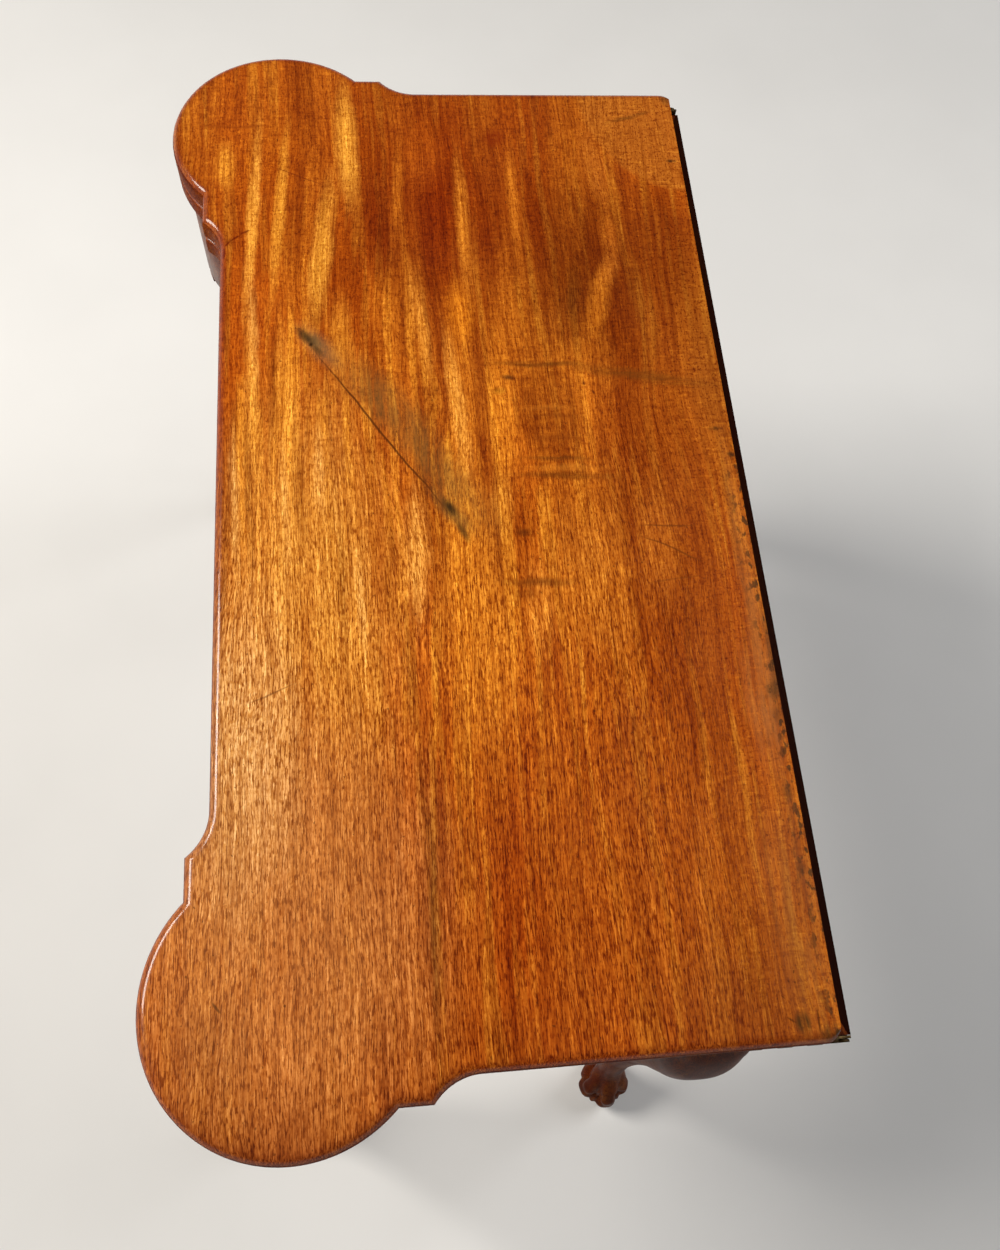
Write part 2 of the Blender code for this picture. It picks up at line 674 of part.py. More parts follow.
def make_inner_frame():
    """The cross rail under the lower leaf and the glue blocks along the rails."""
    front, back = FRONT_INSIDE_Y + GAP, BACK_RAIL_FRONT_Y - GAP
    half = CROSS_RAIL_WIDTH / 2
    box(
        "cross_rail", (CROSS_RAIL_X - half, front, FRAME_TOP - CROSS_RAIL_HEIGHT),
        (CROSS_RAIL_X + half, back, FRAME_TOP), OAK,
    )
    half = GLUE_BLOCK_LENGTH / 2
    inside = END_INSIDE_X - GAP
    for label, side in SIDES.items():
        x = side * GLUE_BLOCK_X
        glue_block(f"{label}_front_glue_block", (x - half, front), (x + half, front + GLUE_BLOCK_SIDE))
        glue_block(f"{label}_back_glue_block", (x - half, back - GLUE_BLOCK_SIDE), (x + half, back))
        y = END_BLOCK_Y + GLUE_BLOCK_Y
        low, high = (side * (inside - GLUE_BLOCK_SIDE), y - half), (side * inside, y + half)
        glue_block(f"{label}_end_glue_block", low, high)


# Swing rail


def knuckle_rail(name, far_x, top, own_fingers):
    """A fly rail with a rounded end on the pivot and slots for the other rail's fingers."""
    toward = 1 if far_x > SWING_PIVOT_X else -1
    radius = RAIL_THICKNESS / 2
    steps = 8
    turns = [math.pi * k / steps for k in range(steps + 1)]
    outline = [(far_x, FLY_BACK_Y)] + [
        (SWING_PIVOT_X - toward * radius * math.sin(t), FLY_MID_Y + radius * math.cos(t)) for t in turns
    ] + [(far_x, FLY_FRONT_Y)]
    rail = plate(name, [outline], FRAME_BOTTOM, top, MAHOGANY)
    pitch = FRIEZE_HEIGHT / SWING_FINGERS
    shoulder = SWING_PIVOT_X + toward * (radius + RUN_CLEARANCE)
    beyond = SWING_PIVOT_X - toward * 2 * radius
    for k in range(SWING_FINGERS):
        if k in own_fingers:
            continue
        low = FRAME_BOTTOM + k * pitch - (pitch if k == 0 else RUN_CLEARANCE / 2)
        high = FRAME_BOTTOM + (k + 1) * pitch + (pitch if k == SWING_FINGERS - 1 else RUN_CLEARANCE / 2)
        cut(rail, box(
            f"{name}_slot_{k}", (beyond, FLY_FRONT_Y - radius, low), (shoulder, FLY_BACK_Y + radius, high),
        ))
    cut(rail, rod(
        f"{name}_pin_hole", (SWING_PIVOT_X, FLY_MID_Y, FRAME_BOTTOM - pitch),
        (SWING_PIVOT_X, FLY_MID_Y, FRAME_TOP + pitch), PIVOT_HOLE_RADIUS, 12,
    ))
    return rail


def make_swing_rail():
    stop = POST_INSIDE_X - GAP
    moving = knuckle_rail("swing_rail", -stop, SWING_TOP, range(0, SWING_FINGERS, 2))
    tenon(moving, "swing_rail", *rear_tenon_plan(FLY_MID_Y, -POST_INSIDE_X, TENON_LENGTH))
    fixed = knuckle_rail("fixed_fly_rail", stop, FRAME_TOP, range(1, SWING_FINGERS, 2))
    tenon(fixed, "fixed_fly_rail", *rear_tenon_plan(FLY_MID_Y, POST_INSIDE_X, TENON_LENGTH))
    rod(
        "swing_pivot_pin", (SWING_PIVOT_X, FLY_MID_Y, FRAME_BOTTOM), (SWING_PIVOT_X, FLY_MID_Y, FRAME_TOP),
        PIVOT_PIN_RADIUS, 12, IRON,
    )
    return moving


# Legs


def post_ring(low, high):
    """A rectangle of as many points as the leg's other rings, as (out, across)."""
    ring = []
    for angle in ring_angles():
        c, s = math.cos(angle), math.sin(angle)
        size = max(abs(c), abs(s))
        share = [(1 + value / size) / 2 for value in (c, s)]
        ring.append(tuple(a + (b - a) * t for a, b, t in zip(low, high, share)))
    return ring


def place(obj, where, angle):
    obj.location = (*where, 0.0)
    obj.rotation_euler.z = angle
    return obj


def shank_rings(grow=0.0):
    rise = LEG_TOP - ANKLE_HEIGHT
    return [[(*p, ANKLE_HEIGHT + rise * share) for p in shank_ring(share, grow)] for share in SHANK_LEVELS]


def cabriole_leg(name, where, angle, post_low, post_high, post_top):
    """A leg from the floor to its post's top. It reaches out along its own X axis, turned by angle."""
    rings = [[(*p, z) for p in foot_ring(z)] for z in FOOT_LEVELS] + shank_rings()
    post = post_ring(post_low, post_high)
    rings += [[(*p, z) for p in post] for z in (LEG_TOP, post_top)]
    return place(loft(name, rings, MAHOGANY), where, angle)


def front_angle(side):
    return -DIAGONAL if side > 0 else math.pi + DIAGONAL


def make_legs():
    half = POST / 2
    for label, side in SIDES.items():
        cabriole_leg(
            f"{label}_front_leg", front_post_place(side), front_angle(side), (-half, -half), (half, half),
            LEG_TOP + FRONT_POST_HEIGHT,
        )
    fixed = cabriole_leg(
        "right_rear_leg", (REAR_POST_X, REAR_POST_Y), 0.0, (-half, -half), (half, half), FRAME_TOP,
    )
    mortise(fixed, "rear_leg_end", *end_tenon_plan(1, REAR_POST_Y - half))
    mortise(fixed, "rear_leg_back", *rear_tenon_plan(BACK_RAIL_MID_Y, POST_INSIDE_X, TENON_LENGTH))
    mortise(fixed, "rear_leg_fly", *rear_tenon_plan(FLY_MID_Y, POST_INSIDE_X, TENON_LENGTH))
    swing = cabriole_leg(
        "swing_leg", (-REAR_POST_X, REAR_POST_Y), math.pi, (-half, -half), (half, RAIL_THICKNESS - half),
        SWING_TOP,
    )
    mortise(swing, "swing_leg_rail", *rear_tenon_plan(FLY_MID_Y, -POST_INSIDE_X, TENON_LENGTH))
    return swing


# Knee brackets


def trim_to_knee(bracket, where, angle):
    """Cuts a bracket to the knee beside it, with a glue gap."""
    rings = shank_rings(grow=GAP)
    rings.append([(x, y, z + POST) for x, y, z in rings[-1]])
    cut(bracket, place(loft(f"{bracket.name}_knee", rings), where, angle))


def front_bracket(name, side, turn):
    """A curved ear under the turret, beside the knee: turn +1 runs round to the end, -1 to the front."""
    outer = FRIEZE_TURRET - GAP
    inner = outer - FRONT_BRACKET_DEPTH
    steps = 8
    rings = []
    for k in range(steps + 1):
        share = k / steps
        start, end = FRONT_BRACKET_SPAN
        swing = math.radians(start + (end - start) * share)
        angle = front_angle(side) + turn * side * swing
        drop = BRACKET_TIP + (FRONT_BRACKET_HEIGHT - BRACKET_TIP) * (1 - math.sin(share * math.pi / 2))
        ring = []
        for radius, down in ((inner, 0.0), (outer, 0.0), (outer, drop), (inner, drop)):
            x, y = turned((radius, 0.0), angle)
            ring.append((side * TURRET_X + x, TURRET_Y + y, LEG_TOP - down))
        rings.append(ring)
    trim_to_knee(loft(name, rings, MAHOGANY), front_post_place(side), front_angle(side))


def ear_outline():
    """A scrolled ear's side, as (away from the post's centre, up)."""
    steps = 8
    points = [(0.0, 0.0), (REAR_BRACKET_LENGTH, 0.0)]
    for k in range(steps + 1):
        t = math.pi / 2 * k / steps
        drop = (REAR_BRACKET_HEIGHT - BRACKET_TIP) * (1 - math.cos(t))
        points.append((REAR_BRACKET_LENGTH * (1 - math.sin(t)), -BRACKET_TIP - drop))
    return points


def rear_end_bracket(name, side):
    """The ear under an end rail, in front of a rear knee."""
    drawn = [(REAR_POST_Y - along, LEG_TOP + up) for along, up in ear_outline()]
    span = sorted((side * END_INSIDE_X, side * END_FACE_X))
    bracket = plate(name, [drawn], *span, MAHOGANY, across="X")
    trim_to_knee(bracket, (side * REAR_POST_X, REAR_POST_Y), 0.0 if side > 0 else math.pi)
    return bracket


def rear_fly_bracket(name, side):
    """The ear under a fly rail, inside a rear knee."""
    rings = []
    for y in (FLY_FRONT_Y, FLY_BACK_Y):
        rings.append([(side * (REAR_POST_X - along), y, LEG_TOP + up) for along, up in ear_outline()])
    bracket = loft(name, rings, MAHOGANY)
    trim_to_knee(bracket, (side * REAR_POST_X, REAR_POST_Y), 0.0 if side > 0 else math.pi)
    return bracket


def make_brackets():
    for label, side in SIDES.items():
        front_bracket(f"{label}_front_knee_bracket", side, -1)
        front_bracket(f"{label}_end_knee_bracket", side, 1)
    rear_end_bracket("right_rear_end_bracket", 1)
    rear_fly_bracket("right_rear_fly_bracket", 1)
    return [rear_end_bracket("swing_end_bracket", -1), rear_fly_bracket("swing_fly_bracket", -1)]


# Assembly


def hang_on(name, where, pieces):
    """Parents moving pieces, where they are, to an empty on their joint's axis."""
    axis = bpy.data.objects.new(name, None)
    PARTS.objects.link(axis)
    axis.location = where
    bpy.context.view_layer.update()
    for piece in pieces:
        piece.parent = axis
        piece.matrix_parent_inverse = axis.matrix_world.inverted()


hang_on("leaf_hinge_axis", (0.0, HINGE_Y, HINGE_Z), make_leaves() + make_hinges())
for end_label, end_side in SIDES.items():
    turret_block(end_label, end_side)
    end_rail(end_label, end_side)
front_rail()
back_rail()
make_inner_frame()
swing_pieces = [make_swing_rail(), make_legs()] + make_brackets()
hang_on("swing_axis", (SWING_PIVOT_X, FLY_MID_Y, FRAME_BOTTOM), swing_pieces)
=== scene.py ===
"""Looks of a fold-over games table, built round its packed CAD frame.

The leaves, legs, frieze, baize and brass are made here as finished pieces that stand for the CAD nodes.
Lengths are metres in the CAD frame: +Z is up, the front faces -Y, the right end is +X.
"""

import json
import math

import bmesh
import bpy
from bpy.props import FloatProperty, FloatVectorProperty, PointerProperty
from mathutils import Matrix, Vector

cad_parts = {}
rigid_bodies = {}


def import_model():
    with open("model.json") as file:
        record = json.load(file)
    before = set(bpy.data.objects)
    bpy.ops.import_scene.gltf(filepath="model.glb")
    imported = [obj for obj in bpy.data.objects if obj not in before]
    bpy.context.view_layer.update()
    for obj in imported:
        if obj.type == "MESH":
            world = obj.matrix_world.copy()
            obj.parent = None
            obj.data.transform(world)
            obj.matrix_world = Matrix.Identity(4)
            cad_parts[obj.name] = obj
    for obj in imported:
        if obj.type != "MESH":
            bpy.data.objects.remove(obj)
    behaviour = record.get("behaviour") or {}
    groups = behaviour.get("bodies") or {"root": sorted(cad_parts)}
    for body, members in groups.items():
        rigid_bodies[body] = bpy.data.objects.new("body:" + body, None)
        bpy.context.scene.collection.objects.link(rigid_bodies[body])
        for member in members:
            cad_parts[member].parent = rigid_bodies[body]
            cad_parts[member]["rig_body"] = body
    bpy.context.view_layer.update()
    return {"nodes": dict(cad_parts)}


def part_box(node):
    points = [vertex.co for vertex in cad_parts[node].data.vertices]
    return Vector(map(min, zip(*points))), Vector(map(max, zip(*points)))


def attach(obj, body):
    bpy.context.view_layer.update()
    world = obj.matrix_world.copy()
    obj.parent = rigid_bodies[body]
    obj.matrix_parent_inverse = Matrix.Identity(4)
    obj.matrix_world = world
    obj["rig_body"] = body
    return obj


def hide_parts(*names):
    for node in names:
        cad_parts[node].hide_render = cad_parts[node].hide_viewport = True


bl_info = {
    "name": "Games Table Looks",
    "version": (1, 0, 0),
    "blender": (4, 5, 0),
    "location": "View3D > Sidebar > Games Table",
    "description": "Builds the wood, cloth and brass of a fold-over games table on its CAD frame",
    "category": "Object",
}

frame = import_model()

# Places that the frame gives
UPPER_LOW, UPPER_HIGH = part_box("upper_leaf")
LOWER_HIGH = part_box("lower_leaf")[1]
PIN_LOW, PIN_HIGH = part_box("right_hinge_pin")
FRONT_RAIL_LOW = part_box("front_rail")[0]
REAR_LEG_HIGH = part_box("right_rear_leg")[1]
SWING_LEG_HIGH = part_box("swing_leg")[1]
FLY_LOW, FLY_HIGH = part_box("fixed_fly_rail")
UPPER_STRAP_LOW, UPPER_STRAP_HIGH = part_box("right_hinge_upper_strap")
LOWER_STRAP_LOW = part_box("right_hinge_lower_strap")[0]
HALF_LENGTH = PIN_HIGH.x   # from the middle of the table to its straight ends
HINGE = (PIN_LOW + PIN_HIGH) / 2
SIDES = {"left": -1, "right": 1}

GAP = 0.0003   # air round a piece that is let into another
WELD = 0.0003   # corners closer than this are one
SHOULDER_GAP = 0.0005   # air between a leg's shoulder and the frieze
LEG_TOP = FRONT_RAIL_LOW.z - SHOULDER_GAP


def linear(code):
    """A colour written as an sRGB hex code, as linear red, green and blue."""
    values = [int(code[i:i + 2], 16) / 255 for i in (1, 3, 5)]
    return [v / 12.92 if v <= 0.04045 else ((v + 0.055) / 1.055) ** 2.4 for v in values]


def length(name, description, default):
    """A property that holds a length in metres."""
    return FloatProperty(name=name, description=description, default=default, unit="LENGTH", precision=5)


def number(name, description, default):
    """A property that holds a plain number."""
    return FloatProperty(name=name, description=description, default=default, precision=3)


def colour(name, description, code):
    """A property that holds a colour, given as an sRGB hex code."""
    return FloatVectorProperty(
        name=name, description=description, default=linear(code), subtype="COLOR", size=3,
        min=0.0, max=1.0,
    )


class GAMES_PG_leaf(bpy.types.PropertyGroup):
    """Outline and edges of the two leaves."""

    outer_round: length("Outer round", "Edge rounding on a leaf's outer face", 0.007)
    inner_round: length("Inner round", "Edge rounding on a leaf's playing face", 0.003)
    turret_radius: length("Turret radius", "Radius of the round corners", 0.0917)
    turret_inset: length("Turret inset", "Turret centre, in from the straight edges", 0.0505)
    step_proud: length("Step", "How far the square step stands out", 0.015)
    front_step_reach: length("Front step reach", "Straight corner to the front step", 0.1425)
    end_step_reach: length("End step reach", "Straight corner to the end step", 0.136)
    cove_radius: length("Cove radius", "Hollow between step and straight edge", 0.0375)
    frieze_inset: length("Frieze inset", "Frieze face, in from the outline", 0.006)
    hinge_corner: length("Hinge corner", "Rounding of the upper leaf's corners at the hinges", 0.009)
    lower_corner: length("Lower corner", "Rounding of the lower leaf's corners at the hinges", 0.001)
    rim_width: length("Rim", "Width of the darker rim on the outer face", 0.004)


class GAMES_PG_field(bpy.types.PropertyGroup):
    """Playing field, candle dishes and counter wells."""

    baize_thickness: length("Baize thickness", "Thickness of the cloth", 0.001)
    recess: length("Recess", "Depth of the field in the wood", 0.0015)
    border: length("Border", "Wood border at the ends and the front", 0.040)
    dish_border: length("Dish border", "Wood between a candle dish and the baize", 0.014)
    hinge_border: length("Hinge border", "Wood left along the hinge edge", 0.004)
    dish_radius: length("Dish radius", "Radius of the candle dishes", 0.066)
    dish_depth: length("Dish depth", "Depth of the candle dishes", 0.003)
    slope: length("Slope", "Half the width of the sloping walls", 0.005)
    well_length: length("Well length", "Length of the counter wells", 0.086)
    well_width: length("Well width", "Width of the counter wells", 0.056)
    well_depth: length("Well depth", "Depth of the counter wells", 0.0038)
    well_rim: length("Well rim", "Wood left round a well", 0.008)
    well_x: length("Well place", "Well centre from the middle of the table", 0.165)
    well_y: length("Well setback", "Well centre from the straight front", 0.092)


class GAMES_PG_leg(bpy.types.PropertyGroup):
    """Cabriole legs with ball and claw feet."""

    post: length("Post", "Side of the square head", 0.040)
    front_post_reach: length("Front post reach", "Front post's centre from the turret's", 0.060)
    front_post_height: length("Front post height", "Front post above the knee", 0.075)
    ankle_height: length("Ankle", "Height of the ankle", 0.105)
    foot_reach: length("Foot reach", "Ball centre, out from the post", 0.046)
    ball_radius: length("Ball radius", "Radius of the ball", 0.0269)
    ball_centre: length("Ball centre", "Ball centre above the floor", 0.0235)
    claw_height: length("Claw height", "How far the claws stand off the ball", 0.0030)
    claw_width: number("Claw width", "Half width of a claw in degrees", 21.0)


class GAMES_PG_fitting(bpy.types.PropertyGroup):
    """Brass screws and eased edges."""

    screw_radius: length("Screw radius", "Radius of a hinge screw's head", 0.0029)
    screw_rise: length("Screw rise", "Dome of a screw's head", 0.0003)
    slot_width: length("Slot", "Width of a screw's slot", 0.0007)
    wood_ease: length("Wood edge", "Easing of sawn and planed edges", 0.0009)
    brass_ease: length("Brass edge", "Easing of the straps' edges", 0.0004)


class GAMES_PG_finish(bpy.types.PropertyGroup):
    """Colours of the wood, cloth and metal."""

    mahogany: colour("Mahogany", "Body colour of the polished wood", "#ae500a")
    mahogany_gold: colour("Gold", "Pale ribbon in the mahogany", "#de8c26")
    mahogany_red: colour("Red", "Dark ribbon in the mahogany", "#742300")
    oak: colour("Oak", "Body colour of the carcase wood", "#a9814e")
    oak_dark: colour("Oak, late wood", "Darker growth of the oak", "#6d4a24")
    baize: colour("Baize", "Body colour of the cloth", "#3d6a3a")
    baize_worn: colour("Baize, worn", "Cloth where cards have rubbed it", "#6d8450")
    brass: colour("Brass", "Clean brass", "#5e4c30")
    brass_tarnish: colour("Tarnish", "Brass gone brown", "#33281a")
    iron: colour("Iron", "Forged iron", "#5b5754")


class GAMES_PG_stage(bpy.types.PropertyGroup):
    """Floor, lamps and camera."""

    floor: colour("Floor", "Colour of the floor", "#e4e3e1")
    lens: number("Lens", "Focal length of the camera in millimetres", 31.53)
    window: number("Window", "Power of the large lamp at the front, in watts", 113.0)
    overhead: number("Overhead", "Power of the lamp behind and above, in watts", 44.0)
    walls: number("Walls", "Light from the room's walls", 0.72)
    ceiling: number("Ceiling", "Light from the room's ceiling", 0.07)


# Node tools


def add(tree, kind, inputs=(), out=0, **settings):
    """Adds one node with its settings and links, and returns the output that is used."""
    made = tree.nodes.new("ShaderNode" + kind)
    for name, value in settings.items():
        setattr(made, name, value)
    for key, value in dict(inputs).items():
        if isinstance(value, bpy.types.NodeSocket):
            tree.links.new(value, made.inputs[key])
        else:
            made.inputs[key].default_value = value
    return made.outputs[out]


def start_finish(name, **sockets):
    """A material with constant values on its shader, and the place on the object in millimetres."""
    made = bpy.data.materials.new(name)
    made.use_nodes = True
    tree = made.node_tree
    shader = tree.nodes["Principled BSDF"]
    for key, value in sockets.items():
        shader.inputs[key.replace("_", " ")].default_value = value
    at = add(tree, "TexCoord", out="Object")
    place = add(tree, "Mapping", {"Vector": at, "Scale": (1000.0, 1000.0, 1000.0)})
    return made, tree, shader, place


def figure(tree, place, size, between, detail=2.0, rough=0.5, seed=0.0):
    """Soft patches of a size in millimetres along each axis, 0 below and 1 above two noise levels."""
    shift = (seed, seed * 1.7, seed * 0.6)
    scaled = add(tree, "Mapping", {"Vector": place, "Scale": [1 / s for s in size], "Location": shift})
    noise = add(tree, "TexNoise", {"Vector": scaled, "Scale": 1.0, "Detail": detail, "Roughness": rough})
    return add(
        tree, "MapRange", {"Value": noise, "From Min": between[0], "From Max": between[1]},
        interpolation_type="SMOOTHSTEP",
    )


def wander(tree, place, size, shift, seed=0.0):
    """Places moved about by slow noise, so that lines drawn on them aren't ruled."""
    at = (seed, seed, seed)
    scaled = add(tree, "Mapping", {"Vector": place, "Scale": [1 / s for s in size], "Location": at})
    noise = add(tree, "TexNoise", {"Vector": scaled, "Scale": 1.0, "Detail": 2.0}, out="Color")
    moved = add(tree, "VectorMath", {0: noise, 1: (0.5, 0.5, 0.5)}, operation="SUBTRACT")
    moved = add(tree, "VectorMath", {0: moved, 1: shift, 2: place}, operation="MULTIPLY_ADD")
    return add(tree, "Mapping", {"Vector": moved})   # keeps many marks within the shader's memory


def tinted(tree, under, tint, amount, share, blend="MIX"):
    """A colour laid over another where amount is 1, at a share of its strength."""
    factor = add(tree, "Math", {0: amount, 1: share}, operation="MULTIPLY")
    return add(
        tree, "Mix", {0: factor, 6: under, 7: (*tint, 1.0)}, out=2, data_type="RGBA", blend_type=blend,
    )


def patch(tree, place, mark):
    """An oval mark: centre, half sizes and turn in millimetres and degrees, and its soft share."""
    x, y, along, across, turn, soft = mark
    local = add(
        tree, "Mapping",
        {"Vector": place, "Location": (x, y, 0.0), "Rotation": (0.0, 0.0, math.radians(turn)),
         "Scale": (along, across, 5000.0)},
        vector_type="TEXTURE",
    )
    inside = add(tree, "TexGradient", {"Vector": local}, out="Fac", gradient_type="SPHERICAL")
    return add(
        tree, "MapRange", {"Value": inside, "From Min": 0.0, "From Max": soft},
        interpolation_type="SMOOTHSTEP",
    )


# Mahogany, hand planed and shellac polished: an orange-brown ground with long gold and red ribbons, short
# dark pores along the grain and a soft gloss. Sizes are along and across the grain, in millimetres.
RIBBONS = (
    # size along, across, noise levels, detail, colour, share
    (430.0, 48.0, (0.36, 0.66), 2.0, "mahogany_gold", 0.30),
    (330.0, 26.0, (0.44, 0.68), 3.0, "mahogany_red", 0.60),
    (170.0, 9.0, (0.48, 0.68), 3.0, "mahogany_gold", 0.55),
    (150.0, 5.0, (0.48, 0.70), 3.0, "mahogany_red", 0.50),
    (11.0, 34.0, (0.48, 0.74), 3.0, "mahogany_red", 0.26),
)
# Fibres lighten or darken what is under them. Pores are about 0.3 wide in the wood and drawn at 0.8, to
# show at this distance.
FIBRES = (
    # size along, across, noise levels, how red, green and blue change
    (90.0, 1.5, (0.38, 0.66), (1.28, 1.44, 1.60)),
    (11.0, 0.9, (0.46, 0.66), (1.34, 1.60, 2.10)),
    (24.0, 0.9, (0.52, 0.64), (0.74, 0.62, 0.44)),
    (4.0, 1.6, (0.50, 0.66), (0.72, 0.58, 0.38)),
    (7.0, 0.8, (0.53, 0.61), (0.46, 0.30, 0.14)),
)
# Where the grain is closed it is crossed by fine ripples and dotted with short pores.
RIPPLES = (
    (2.8, 10.0, (0.54, 0.68), (0.74, 0.62, 0.42)),
    (2.4, 11.0, (0.56, 0.70), (1.30, 1.50, 1.60)),
    (2.2, 1.5, (0.54, 0.66), (0.54, 0.36, 0.16)),
)
# Long thin streaks run the length of the top.
STREAKS = (
    (170.0, 2.6, (0.48, 0.64), (0.78, 0.68, 0.54)),
    (220.0, 3.8, (0.50, 0.64), (1.16, 1.24, 1.36)),
)


def along_grain(axis, along, across):
    """A size for each axis: one along the grain, another across it."""
    return tuple(along if k == axis else across for k in range(3))


def ribbons(tree, place, axis, colours, seed):
    """The broad colour of mahogany, with its grain along an axis, and the places that its lines follow."""
    shift = along_grain(axis, 0.0, 26.0)
    loose = wander(tree, place, along_grain(axis, 260.0, 120.0), shift, seed)
    ground = (*colours.mahogany, 1.0)
    for k, (along, across, between, detail, tint, share) in enumerate(RIBBONS):
        size = along_grain(axis, along, across)
        amount = figure(tree, loose, size, between, detail, seed=seed + 3.1 * k)
        ground = tinted(tree, ground, getattr(colours, tint), amount, share)
    return ground, loose


def fibres(tree, ground, loose, axis, seed, open_grain=None):
    """Fine fibres and pores over a ground colour, with ripples across where the grain isn't open."""
    for k, (along, across, between, change) in enumerate(FIBRES):
        amount = figure(tree, loose, along_grain(axis, along, across), between, 1.5, seed=seed + 2.3 * k)
        if open_grain:
            amount = add(tree, "Math", {0: amount, 1: open_grain}, operation="MULTIPLY")
        ground = tinted(tree, ground, change, amount, 1.0, "MULTIPLY")
    if open_grain:
        closed = add(tree, "Math", {0: 1.25, 1: open_grain}, operation="SUBTRACT")
        for k, (along, across, between, change) in enumerate(RIPPLES):
            size = along_grain(axis, along, across)
            ripple = figure(tree, loose, size, between, 2.0, seed=seed + 11.0 + 2.9 * k)
            ripple = add(tree, "Math", {0: ripple, 1: closed}, operation="MULTIPLY")
            ground = tinted(tree, ground, change, ripple, 1.0, "MULTIPLY")
    return ground, amount


def polish(tree, shader, pores, place, low, high):
    """Roughness and bump of polished wood: pores a little sunk, gloss rubbed unevenly."""
    rubbed = figure(tree, place, (70.0, 55.0, 55.0), (0.3, 0.7), 3.0, seed=9.0)
    gloss = add(tree, "MapRange", {"Value": rubbed, "To Min": low, "To Max": high})
    height = add(tree, "Bump", {"Strength": 0.25, "Distance": 0.0001, "Height": pores}, invert=True)
    tree.links.new(gloss, shader.inputs["Roughness"])
    tree.links.new(height, shader.inputs["Normal"])


# The frame's mahogany is darker than the top, and the legs darker still. The leaves' upright edges are
# painted darker as shade. These are the shares of the wood's red, green and blue that are left on each kind
# of piece.
FRAME_DARKER = (0.30, 0.23, 0.20)
LEAF_DARKER = (0.52, 0.42, 0.36)
# The leaves' upright edges: painted shade, darker than the top because less light falls on them.
EDGE_PAINTED_SHADE = (0.37, 0.25, 0.18)
LEG_DARKER = (0.22, 0.16, 0.09)


def mahogany(
    name, axis, colours, seed, darker=FRAME_DARKER, gloss=(0.28, 0.42), shine=0.06, dirt_and_shade_behind_hinge=False,
):
    """Polished mahogany with its grain along an axis. With the last flag, the strip behind the hinge edge
    is painted near black: dirt there, and painted shade under the upper leaf.
    """
    made, tree, shader, place = start_finish(
        name, IOR=1.5, Specular_IOR_Level=shine, Coat_Weight=shine, Coat_Roughness=0.10, Coat_IOR=1.5,
    )
    ground, loose = ribbons(tree, place, axis, colours, seed)
    ground, pores = fibres(tree, ground, loose, axis, seed)
    ground = add(
        tree, "Mix", {0: 1.0, 6: ground, 7: (*darker, 1.0)}, out=2, data_type="RGBA",
        blend_type="MULTIPLY",
    )
    # Hollows darkened from ambient occlusion: partly dark polish gathered there, partly painted shade.
    hollow = add(tree, "AmbientOcclusion", {"Distance": 0.02}, out="AO", samples=4)
    hollow_darkening = add(tree, "MapRange", {"Value": hollow, "From Min": 0.75, "From Max": 0.25})
    ground = tinted(tree, ground, linear("#1c0a03"), hollow_darkening, 0.75)
    clouds = figure(tree, place, (60.0, 60.0, 60.0), (0.35, 0.8), 3.0)
    ground = tinted(tree, ground, linear("#3a1404"), clouds, 0.4)
    # The strip behind the hinge edge: some dirt, and painted shade cast by the upper leaf.
    if dirt_and_shade_behind_hinge:
        edge = UPPER_HIGH.y * 1000
        back = add(tree, "SeparateXYZ", {0: place}, out="Y")
        behind = add(tree, "MapRange", {"Value": back, "From Min": edge - 1.0, "From Max": edge + 1.5})
        ground = tinted(tree, ground, linear("#230a02"), behind, 0.92)
    tree.links.new(ground, shader.inputs["Base Color"])
    polish(tree, shader, pores, place, *gloss)
    return made


